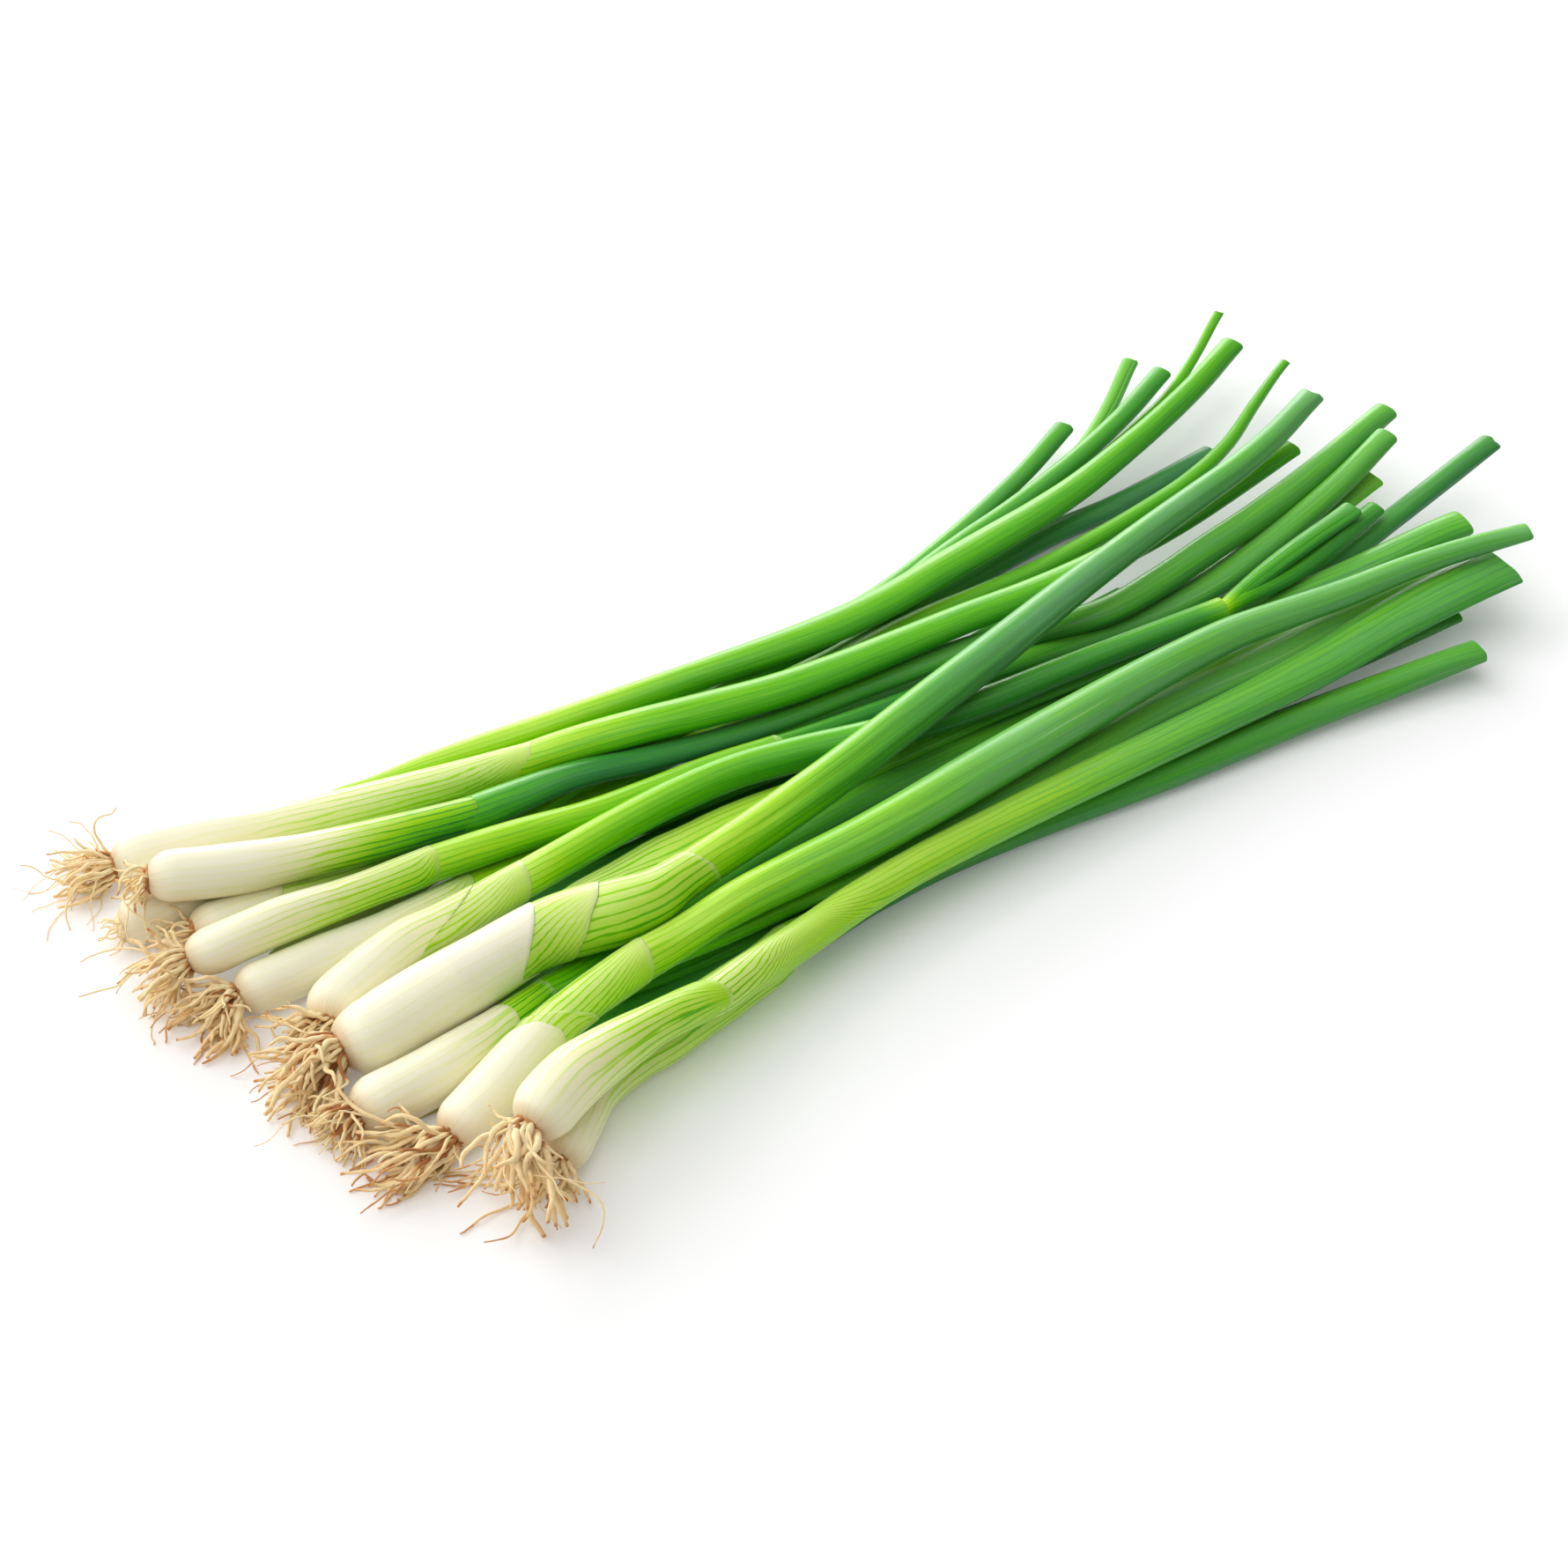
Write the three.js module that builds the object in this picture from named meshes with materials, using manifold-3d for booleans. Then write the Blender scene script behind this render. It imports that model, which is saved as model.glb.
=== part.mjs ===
// A bunch of twelve spring onions, lying fanned out on a table. Millimetres, +Z up.
// +X runs from the roots to the cut leaf tips, and the table is at z = 0.
import * as THREE from "three";
import { mergeVertices } from "three/addons/utils/BufferGeometryUtils.js";
import Module from "manifold-3d";

const wasm = await Module();
wasm.setup();

const airGap = 0.45; // left between pieces that lie against each other
const jointGap = 0.3; // between the end of a sheath and the leaf that grows out of it
const stalkSides = 10;
const leafSides = 8;
const tipRim = 0.82; // the last ring of a cut tip, against the leaf's own section
const stalkPitch = 8; // between the rings of a stalk, past its round end
const leafPitch = 17; // between the rings of a leaf
const openOut = 34; // a leaf pressed flat in its collar takes its own section over this length
const freeStart = { start: [0.9, 0.6], lift: 0 }; // a leaf's thin start beside a stalk
const wholeShare = 0.97; // a single leaf's start, over the end that it grows out of
const sharedWidth = 0.9; // the same for the width of leaves that share an end
const sliceStep = 4; // the pile is settled on slices across X, this far apart
const settlePasses = 1400;
const partingPasses = 300; // the last passes only part what still touches
const floorPress = 0.22; // how much of a round underside the table flattens
const sightPull = 0.2; // how fast a piece goes back to its place as seen, each pass
const weight = 0.004; // how far it sinks, each pass

// A bulb's foot, its round shoulder and the ends of its body and taper, over its half width.
const bulbShape = { foot: 0.47, shoulder: 0.95, body: 2.6, taper: 7.5 };
const bulbRings = [0, 0.14, 0.4, 0.85]; // the rings of a bulb's round end, over its half width
const shankFlat = 0.96; // a shank's height over its width

// The root plate's distance out and half width at each ring, over its own half width.
const plateRings = [[0.1, 1], [0.45, 0.95], [0.8, 0.6]];
const plateShare = 0.9; // the plate's half width over the foot's
const rootsPerTuft = 14;
const rootSides = 3;
const rootRadius = 0.7;
const rootTaper = 0.6;
const rootSteps = 4;
const rootTries = 60;
const rootBend = { heading: 0.35, outward: 0.15, wander: 0.7, sag: 0.3 };
const goldenAngle = Math.PI * (3 - Math.sqrt(5));

// The bunch was laid out as seen along this line. A piece that must give way slides along it first.
const sightLine = new THREE.Vector3(-0.426, -0.609, 0.669);

const colours = {
  stalk: { color: 0xe9edc2, roughness: 0.35, metalness: 0 },
  leaf: { color: 0x3f8f35, roughness: 0.42, metalness: 0 },
  roots: { color: 0xc7a06a, roughness: 0.8, metalness: 0 },
};

// Each onion has its bulb, shank and collar widths, its route from the root plate to the collar as
// [along, across, up], the way its roots run (degrees from -X, positive towards +Y) and its leaves.
// A leaf's route goes on from the end of the piece that it grows out of, which is the stalk unless
// "from" names another leaf. One that starts "beside" the stalk gives its whole route. Widths are
// evenly spaced from its start to its cut tip, and flat is its height over its width there.
const onions = [
  {
    bulb: 11.6, shank: 8.6, collar: 7.8,
    route: [[-134, 71, 6], [-110, 65, 6], [-67, 52, 8.5], [-42, 42.5, 12]],
    roots: { heading: 10, reach: 19 },
    leaves: {
      a: { widths: [8, 8.2, 7.4, 6.6, 6], flat: [0.9, 0.8],
        route: [[-29, 38.5, 15], [-11, 34, 15], [24, 28, 13], [60, 25, 12], [100, 23, 12],
          [138, 25, 13], [177, 29, 16]] },
      b: { beside: true, widths: [6.6, 7.4, 7.2, 6.6, 6], flat: [0.9, 0.8],
        route: [[-81, 64, 6], [-47, 56, 8], [-13, 48, 11], [20, 42, 13], [53, 41, 13], [85, 45, 13],
          [124, 51, 12], [147, 56, 13], [172, 63, 15], [193, 71, 17]] },
      c: { beside: true, widths: [3.2, 3.2, 3.2, 2.2], flat: [0.8, 0.8],
        route: [[98, 52, 5.5], [118, 56, 6], [137, 60, 8], [173, 71, 10], [200, 85, 16]] },
    },
  },
  {
    bulb: 11.6, shank: 9.4, collar: 8.2,
    route: [[-134, 58, 12], [-117, 49, 12], [-90, 39, 13], [-62, 33, 12]],
    roots: { heading: -5, reach: 20 },
    leaves: {
      a: { widths: [7.4, 5.6, 5.4, 7, 7.6, 6.4], flat: [0.9, 0.85],
        route: [[-40, 31, 12], [-16, 26, 11], [6, 23, 10], [34, 22, 10], [72, 19, 10], [112, 9, 11],
          [134, 12, 12], [155, 15, 13], [176, 18, 15], [204, 24, 19]] },
      b: { widths: [4.2, 4, 4.8, 5.4, 5.2], flat: [0.7, 0.8],
        route: [[-34, 35, 8.5], [12, 42, 6], [54, 44, 7.5], [81, 51, 8.5], [108, 56, 9], [127, 60, 10],
          [150, 66, 12], [172, 74, 15]] },
    },
  },
  {
    bulb: 11.4, shank: 8, collar: 7,
    route: [[-142, 52, 6], [-109, 46, 6], [-89, 43, 5.5], [-54, 41, 4.5]],
    roots: { heading: -25, reach: 17 },
    leaves: {
      a: { widths: [5.6, 5.8, 6.6, 6.8, 6.4], flat: [0.8, 0.8],
        route: [[-25, 40, 3.5], [5, 39.5, 3.5], [27, 40, 3.5], [78, 44, 4], [115, 46, 4], [150, 47, 5],
          [168, 48, 6]] },
      b: { widths: [4, 4, 4.6, 5.2], flat: [0.7, 0.8],
        route: [[-37, 45, 3], [-18, 47.5, 3], [23, 49, 3], [53, 51, 3], [73, 55, 3],
          [107, 64, 5], [123, 68.5, 7], [141, 75, 10]] },
    },
  },
  {
    bulb: 11.4, shank: 8.2, collar: 7.2,
    route: [[-130, 41, 6], [-116, 38, 6], [-93, 35, 6], [-61, 31, 5]],
    roots: { heading: -8, reach: 16 },
    leaves: {
      a: { widths: [3.8, 3.8, 4.2, 4.2], flat: [0.8, 0.75],
        route: [[-23, 35, 5], [18, 43.5, 3], [63, 47.5, 2.5], [97, 55, 2.5], [125, 64, 3], [149, 73, 5],
          [173, 88, 10]] },
      b: { widths: [5.4, 5.8, 6.2, 5.6, 4.4, 2.6], flat: [0.8, 0.8],
        route: [[-25, 32, 4], [16, 35, 4], [62, 38, 5], [102, 36, 6], [130, 37, 8], [149, 39, 9],
          [171, 45, 11], [193, 56, 14], [201, 59, 15]] },
    },
  },
  {
    bulb: 13, shank: 9.6, collar: 8.8,
    route: [[-136, 31, 10.5], [-123, 29, 11], [-98, 27, 11.5], [-78, 25, 12]],
    roots: { heading: -10, reach: 21 },
    leaves: {
      a: { widths: [8.4, 7.6, 6.4, 5], flat: [0.95, 0.9],
        route: [[-55, 21, 12], [-34, 17, 12], [-9, 16, 12], [8, 14, 12]] },
      b: { from: "a", widths: [4.6, 5.4, 6, 6.4, 6.2], flat: [0.95, 0.8],
        route: [[27, 12, 11], [51, 10, 10], [91, 6, 10], [119, 3, 11], [132, 3, 12], [153, 6, 14],
          [176, 11, 16], [196, 16, 19]] },
    },
  },
  {
    bulb: 11.6, shank: 8.4, collar: 7.4,
    route: [[-131, 20, 6], [-104, 17, 6.5], [-71, 19, 6.5]],
    roots: { heading: -14, reach: 19 },
    leaves: {
      a: { widths: [7, 7, 7, 7.2, 7.4], flat: [0.8, 0.5],
        route: [[-35, 17, 6], [1, 15, 6], [73, 9, 5], [112, 7, 6], [155, 8, 8], [189, 12, 12]] },
    },
  },
  {
    bulb: 12.6, shank: 10, collar: 9,
    route: [[-120, 0, 7.5], [-110, 5, 8], [-96, 9, 9], [-84, 9, 10], [-63, 9, 12]],
    roots: { heading: -20, reach: 19 },
    leaves: {
      a: { widths: [8.8, 8.6, 8.2, 6.8, 6.4], flat: [0.95, 0.9],
        route: [[-46, 11, 12], [-28, 13, 12], [-11, 13, 12], [8, 9, 12], [21, 5, 12], [52, -1, 12],
          [78, -3, 12], [122, -8, 13]] },
      b: { from: "a", widths: [5.2, 5.8, 5.6], flat: [0.6, 0.5],
        route: [[138, -5, 15], [154, -3, 16], [170, -1, 18]] },
      c: { from: "a", widths: [5, 5.2, 5], flat: [0.8, 0.8],
        route: [[135, -8, 13], [155, -6, 14], [178, -2, 16]] },
    },
  },
  {
    bulb: 16.6, shank: 12.4, collar: 10.2,
    route: [[-122, -10, 9], [-95, -10, 10.5], [-72, -10.5, 13], [-58, -13, 15], [-48, -16, 17],
      [-32, -15, 18]],
    roots: { heading: -22, reach: 21 },
    leaves: {
      a: { widths: [10.4, 10.2, 9.8, 8.2, 7.2, 6.2], flat: [0.95, 0.85],
        route: [[-20, -14, 19], [4, -11, 21], [36, -4, 22], [63, 2, 23], [85, 8, 23], [123, 17, 23],
          [163, 26, 23], [188, 35, 24]] },
      b: { beside: true, widths: [7.6, 7, 5.4, 5.6, 7.2, 8.6], flat: [0.85, 0.7],
        route: [[-54, 0, 10], [-25, 3, 9], [-2, 2, 9], [28, 0, 8], [57, -2, 8], [88, -5, 9],
          [121, -9, 10], [149, -13, 11], [192, -18, 15]] },
    },
  },
  {
    bulb: 13.2, shank: 9, collar: 7.8,
    route: [[-128, -27, 7], [-108, -27, 6.7], [-92, -23, 6.3], [-76, -19, 6]],
    roots: { heading: -32, reach: 20 },
    leaves: {
      a: { widths: [6.4, 6, 5.8, 5.8, 6], flat: [0.9, 0.75],
        route: [[-58, -16, 6], [-40, -13, 6], [-21, -11, 7], [17, -9, 8], [56, -9, 8], [92, -10, 8],
          [127, -8, 8], [161, -7, 10], [183, -4, 12], [217, -1, 19]] },
      b: { widths: [5.6, 6, 6.2, 6.2], flat: [0.85, 0.75],
        route: [[-64, -23, 3.5], [-44, -26, 3.5], [-19, -27, 3.5], [41, -28, 4], [86, -30, 4],
          [127, -31.5, 4], [175, -35, 6]] },
    },
  },
  {
    bulb: 12.4, shank: 10.4, collar: 9.8,
    route: [[-115, -43, 6.3], [-92, -34, 9], [-79, -31, 11.5], [-57, -29, 14]],
    roots: { heading: -8, reach: 23 },
    leaves: {
      a: { widths: [9.8, 10.8, 11.6, 9.6, 7.4, 5.6], flat: [0.95, 0.8],
        route: [[-28, -27, 15], [7, -27, 16], [47, -24, 17], [96, -21, 18], [120, -21, 18],
          [140, -24, 18], [173, -28, 19], [197, -35, 21]] },
      b: { widths: [8, 9.4, 10, 10.2, 9.8], flat: [0.7, 0.55],
        route: [[-27, -26, 9], [17, -28, 9], [45, -27, 9], [94, -24, 9], [120, -26, 10],
          [149, -27, 12], [178, -29, 14]] },
    },
  },
  {
    bulb: 15, shank: 11.6, collar: 9.8,
    route: [[-105, -59, 17], [-88, -54, 17], [-76, -52, 17], [-50, -48, 15]],
    roots: { heading: 8, reach: 21 },
    leaves: {
      a: { widths: [9.2, 9, 9.8, 10.6, 10.8], flat: [0.85, 0.5],
        route: [[-28, -43, 13], [2, -38, 12.5], [40, -36, 11.5], [86, -36, 11], [128, -36, 11],
          [156, -35, 12.5], [188, -37, 15]] },
    },
  },
  {
    bulb: 11, shank: 9, collar: 7.8,
    route: [[-100, -61.5, 6], [-78, -46, 6], [-60, -40, 6], [-24, -34, 5]],
    roots: { heading: -12, reach: 15 },
    leaves: {
      a: { widths: [6.8, 7.8, 8.4, 8, 7.2], flat: [0.85, 0.8],
        route: [[0, -33, 4.5], [19, -31.5, 4.5], [38, -33, 4.5], [82, -39, 4.5], [122, -43, 5],
          [148, -47, 6], [168, -51, 8]] },
    },
  },
];

const up = new THREE.Vector3(0, 0, 1);
const { lerp, smoothstep, clamp, degToRad } = THREE.MathUtils;

// The same draws each time, for the roots.
function seededRandom(seed) {
  let state = seed;
  return () => {
    state = (state * 1664525 + 1013904223) % 4294967296;
    return state / 4294967296;
  };
}

// A value read off a smooth line through evenly spaced knots, for t from 0 to 1.
function smoothValue(knots, t) {
  if (knots.length < 3) return lerp(knots[0], knots[knots.length - 1], t);
  return new THREE.SplineCurve(knots.map((v, i) => new THREE.Vector2(i, v))).getPoint(clamp(t, 0, 1)).y;
}

// The half width and half height of a stalk: a round shoulder, the bulb, a long taper and the shank.
function stalkSection(onion) {
  const bulb = onion.bulb / 2;
  const { foot, shoulder, body, taper } = bulbShape;
  return (s, length) => {
    const round = Math.sqrt(1 - (1 - foot * foot) * Math.max(0, 1 - s / (shoulder * bulb)) ** 2);
    const narrowed = smoothstep(s, body * bulb, taper * bulb);
    const shank = lerp(onion.shank, onion.collar, smoothstep(s, taper * bulb, length)) / 2;
    const half = lerp(bulb * round, shank, narrowed);
    return [half, half * lerp(1, shankFlat, narrowed)];
  };
}

// The half width and half height of a leaf, from the section that its start is pressed into.
function leafSection(leaf, start) {
  return (s, length) => {
    const t = s / length;
    const half = smoothValue(leaf.widths, t) / 2;
    const height = half * lerp(leaf.flat[0], leaf.flat[1], t);
    const own = smoothstep(s, 0, openOut);
    return [lerp(start[0], half, own), lerp(start[1], height, own)];
  };
}

// A piece that the pile is settled with: its route as drawn, sampled, and a section along it.
function makePiece(name, kind, points, section, parent) {
  const curve = new THREE.CatmullRomCurve3(points.map((p) => new THREE.Vector3(...p)));
  const samples = curve.getSpacedPoints(240);
  const length = curve.getLength();
  return { name, kind, samples, length, section, parent, slices: new Map() };
}

// The route as drawn at plane x, run on straight past its ends, with the distance along it.
function drawnAt(piece, x) {
  const { samples, length } = piece;
  const last = samples.length - 1;
  let i = samples.findIndex((p) => p.x > x) - 1;
  if (x >= samples[last].x) i = last - 1;
  i = clamp(i, 0, last - 1);
  const [p, q] = [samples[i], samples[i + 1]];
  const f = (x - p.x) / (q.x - p.x);
  const slope = (q.y - p.y) / (q.x - p.x);
  const s = clamp(((i + f) / last) * length, 0, length);
  return { y: lerp(p.y, q.y, f), z: lerp(p.z, q.z, f), slope, s };
}

// One slice for each plane that the piece crosses, its slanted end faces included.
function slicePiece(piece) {
  const ends = [piece.samples[0].x, piece.samples[piece.samples.length - 1].x].map((x, i) => {
    const { slope, s } = drawnAt(piece, x);
    const reach = piece.section(s, piece.length)[0] * Math.sin(Math.atan(Math.abs(slope)));
    return x + (i ? reach : -reach);
  });
  for (let k = Math.ceil(ends[0] / sliceStep); k <= Math.floor(ends[1] / sliceStep); k += 1) {
    const at = drawnAt(piece, k * sliceStep);
    const [half, height] = piece.section(at.s, piece.length);
    piece.slices.set(k, {
      y: at.y, z: at.z, dy: 0, dz: 0,
      a: half * Math.hypot(1, at.slope), b: height,
      sight: (sightLine.y - sightLine.x * at.slope) / sightLine.z,
    });
  }
}

// How far the piece has been moved from its drawn route at x.
function shiftAt(piece, x) {
  const keys = [...piece.slices.keys()];
  const k = clamp(x / sliceStep, keys[0], keys[keys.length - 1]);
  const base = Math.floor(k);
  const [low, high] = [piece.slices.get(base), piece.slices.get(Math.ceil(k))];
  return [lerp(low.dy, high.dy, k - base), lerp(low.dz, high.dz, k - base)];
}

// Pieces that grow out of one another, or side by side out of one collar, aren't parted there.
function growTogether(p, q, k) {
  if (p.parent === q || q.parent === p) return true;
  return p.parent && p.parent === q.parent && k * sliceStep < p.samples[0].x + 2 * sliceStep;
}

// Parts two sections in one slice, each by half. Their order in height stays as drawn.
function partSlices(u, v) {
  const [a, b] = [u.a + v.a + airGap, u.b + v.b + airGap];
  const dy = u.y + u.dy - v.y - v.dy;
  let dz = u.z + u.dz - v.z - v.dz;
  if (Math.abs(dy) >= a || Math.abs(dz) >= b) return;
  const drawn = u.z - v.z;
  if (Math.abs(drawn) > 0.5 && drawn * dz < 0 && Math.abs(dy) < 0.75 * a) dz = Math.sign(drawn) * 0.3;
  const f = (dy / a) ** 2 + (dz / b) ** 2;
  if (f >= 1) return;
  const [gy, gz] = [dy / a ** 2, dz / b ** 2];
  const slope = gy * gy + gz * gz;
  if (slope < 1e-9) return;
  const push = clamp((1 - f) / (4 * slope), 0, 1 / Math.sqrt(slope)) * 0.5;
  u.dy += gy * push;
  u.dz += gz * push;
  v.dy -= gy * push;
  v.dz -= gz * push;
}

// Lays the pile: each piece is drawn back to its route, kept smooth, held above the table and
// parted from the others, over and over, until they lie against one another.
function settle(pieces) {
  pieces.forEach(slicePiece);
  const planes = new Map();
  for (const piece of pieces) {
    for (const [k, slice] of piece.slices) {
      if (!planes.has(k)) planes.set(k, []);
      planes.get(k).push([piece, slice]);
    }
  }
  const pairs = [];
  for (const [k, members] of planes) {
    members.forEach(([p, u], i) => members.slice(i + 1).forEach(([q, v]) => {
      if (!growTogether(p, q, k)) pairs.push([u, v]);
    }));
  }
  for (let pass = 0; pass < settlePasses; pass += 1) {
    const parting = pass >= settlePasses - partingPasses;
    for (const piece of pieces) {
      const slices = [...piece.slices.values()];
      if (!parting) {
        for (const slice of slices) {
          slice.dy -= sightPull * (slice.dy - slice.sight * slice.dz);
          slice.dz -= weight * (slice.dz + 1);
        }
      }
      const stiffness = parting ? 0.25 : 0.5;
      slices.slice(1, -1).forEach((slice, i) => {
        slice.dy = lerp(slice.dy, (slices[i].dy + slices[i + 2].dy) / 2, stiffness);
        slice.dz = lerp(slice.dz, (slices[i].dz + slices[i + 2].dz) / 2, stiffness);
      });
    }
    for (const [u, v] of pairs) partSlices(u, v);
    for (const piece of pieces) {
      for (const slice of piece.slices.values()) {
        slice.dz = Math.max(slice.dz, slice.b - floorPress - slice.z);
      }
      if (!piece.parent) continue;
      const start = piece.samples[0].x;
      const [dy, dz] = shiftAt(piece.parent, start);
      for (const [k, slice] of piece.slices) {
        if (k * sliceStep < start + sliceStep) [slice.dy, slice.dz] = [dy, dz];
      }
    }
  }
}

// The settled centre line and section at a distance along a piece.
function settledAt(piece, s) {
  const last = piece.samples.length - 1;
  const f = clamp((s / piece.length) * last, 0, last - 1e-6);
  const i = Math.floor(f);
  const point = piece.samples[i].clone().lerp(piece.samples[i + 1], f - i);
  const [dy, dz] = shiftAt(piece, point.x);
  point.y += dy;
  point.z += dz;
  return point;
}

function directionAt(piece, s) {
  const step = 1.5;
  const from = settledAt(piece, Math.max(0, s - step));
  return settledAt(piece, Math.min(piece.length, s + step)).sub(from).normalize();
}

// A ring of points round a centre, flat side down, and none of them under the table.
function ring(centre, direction, half, height, sides) {
  const side = new THREE.Vector3().crossVectors(up, direction).normalize();
  const rise = new THREE.Vector3().crossVectors(direction, side);
  return Array.from({ length: sides }, (_, i) => {
    const turn = ((i + 0.5) / sides) * 2 * Math.PI;
    const point = centre.clone()
      .addScaledVector(side, half * Math.cos(turn))
      .addScaledVector(rise, height * Math.sin(turn));
    point.z = Math.max(point.z, 0);
    return point;
  });
}

// A closed skin through the rings, with a point at each end.
function loft(rings, start, end) {
  const sides = rings[0].length;
  const points = [start, ...rings.flat(), end];
  const index = [];
  for (let i = 0; i < sides; i += 1) {
    const j = (i + 1) % sides;
    index.push(0, 1 + j, 1 + i);
    for (let r = 0; r + 1 < rings.length; r += 1) {
      const [low, high] = [1 + r * sides, 1 + (r + 1) * sides];
      index.push(low + i, low + j, high + j, low + i, high + j, high + i);
    }
    const top = 1 + (rings.length - 1) * sides;
    index.push(top + i, top + j, points.length - 1);
  }
  return new THREE.BufferGeometry().setFromPoints(points).setIndex(index);
}

// The distances along a piece at which it has a ring.
function stations(first, pitch, last) {
  const start = first[first.length - 1];
  const count = Math.max(1, Math.round((last - start) / pitch));
  return [...first, ...Array.from({ length: count }, (_, i) => lerp(start, last, (i + 1) / count))];
}

function ringAt(piece, s, sides, direction = directionAt(piece, s)) {
  const [half, height] = piece.section(s, piece.length);
  return ring(settledAt(piece, s), direction, half, height, sides);
}

function stalkGeometry(piece) {
  const bulb = piece.section(piece.length * 0.1, piece.length)[0];
  const along = stations(bulbRings.map((f) => f * bulb), stalkPitch, piece.length);
  const rings = along.map((s) => ringAt(piece, s, stalkSides));
  return loft(rings, settledAt(piece, 0), settledAt(piece, piece.length));
}

// A leaf starts flat against the end face of what it grows out of, and has a rounded cut tip.
function leafGeometry(piece) {
  const { parent, length } = piece;
  const tip = piece.isCut ? piece.section(length, length)[0] : 0;
  const along = stations([0, 8], leafPitch, length - 0.5 * tip);
  const facing = parent ? directionAt(parent, parent.length) : directionAt(piece, 0);
  const shift = facing.clone().multiplyScalar(parent ? jointGap : 0);
  const rings = along.map((s, i) => {
    const points = ringAt(piece, s, leafSides, i ? undefined : facing);
    if (!i) points.forEach((p) => p.add(shift));
    return points;
  });
  const foot = settledAt(piece, 0).add(shift);
  const end = settledAt(piece, length);
  if (!piece.isCut) return loft(rings, foot, end);
  const direction = directionAt(piece, length);
  const [half, height] = piece.section(length, length).map((v) => v * tipRim);
  end.z = Math.max(end.z, height + 0.2);
  rings.push(ring(end, direction, half, height, leafSides));
  return loft(rings, foot, end.clone().addScaledVector(direction, 0.3 * tip));
}

function asManifold(geometry) {
  const merged = mergeVertices(geometry, 1e-4);
  return new wasm.Manifold(new wasm.Mesh({
    numProp: 3,
    vertProperties: merged.attributes.position.array,
    triVerts: new Uint32Array(merged.index.array),
  }));
}

function fromManifold(solid) {
  const mesh = solid.getMesh();
  return new THREE.BufferGeometry()
    .setAttribute("position", new THREE.BufferAttribute(new Float32Array(mesh.vertProperties), 3))
    .setIndex(new THREE.BufferAttribute(new Uint32Array(mesh.triVerts), 1));
}

// Whether a root at a point is clear of every stalk and leaf.
function isClearOfPieces(point, pieces) {
  const k = Math.round(point.x / sliceStep);
  return pieces.every((piece) => {
    const slice = piece.slices.get(k);
    if (!slice) return true;
    const across = (point.y - slice.y - slice.dy) / (slice.a + rootRadius + airGap);
    const rise = (point.z - slice.z - slice.dz) / (slice.b + rootRadius + airGap);
    return across * across + rise * rise > 1;
  });
}

// One root: from inside the root plate, outwards, drooping to the table and wandering on.
function drawRoot(random, start, direction, outward, heading, reach) {
  const points = [start.clone()];
  const way = direction.clone();
  const step = reach / rootSteps;
  const { wander, sag } = rootBend;
  for (let i = 0; i < rootSteps; i += 1) {
    const next = points[i].clone().addScaledVector(way, i ? step : rootTaper * step);
    next.z = Math.max(next.z, 1.1 * rootRadius);
    points.push(next);
    const stray = new THREE.Vector3(random() - 0.5, random() - 0.5, random() - 0.5 - sag);
    way.addScaledVector(heading, rootBend.heading).addScaledVector(outward, rootBend.outward);
    way.addScaledVector(stray, wander).normalize();
  }
  return points;
}

function rootGeometry(points) {
  const rings = points.slice(0, -1).map((point, i) => {
    const direction = points[i + 1].clone().sub(points[Math.max(0, i - 1)]).normalize();
    const radius = rootRadius * lerp(1, rootTaper, i / rootSteps);
    return ring(point, direction, radius, radius, rootSides);
  });
  return loft(rings, points[0].clone(), points[points.length - 1]);
}

// The points along a root at which it is tested for touching.
function pointsAlong(points) {
  return points.slice(1).flatMap((to, i) => {
    const count = Math.ceil(to.distanceTo(points[i]) / (1.5 * rootRadius));
    return Array.from({ length: count }, (_, j) => points[i].clone().lerp(to, (j + 1) / count));
  });
}

// Where a bulb's root plate is, which way it faces and its half width.
function makePlate(stalk) {
  const outward = directionAt(stalk, 0).negate();
  const foot = settledAt(stalk, 0);
  const half = plateShare * stalk.section(0, stalk.length)[0];
  const centre = foot.clone().addScaledVector(outward, 0.35 * half);
  return { outward, foot, half, centre };
}

function plateGeometry({ outward, foot, half }) {
  const outAt = (s) => foot.clone().addScaledVector(outward, Math.max(s, jointGap));
  const rings = plateRings.map(([s, scale]) => {
    return ring(outAt(s * half), outward, half * scale, half * scale, leafSides);
  });
  return loft(rings, outAt(0), outAt(half));
}

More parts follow.
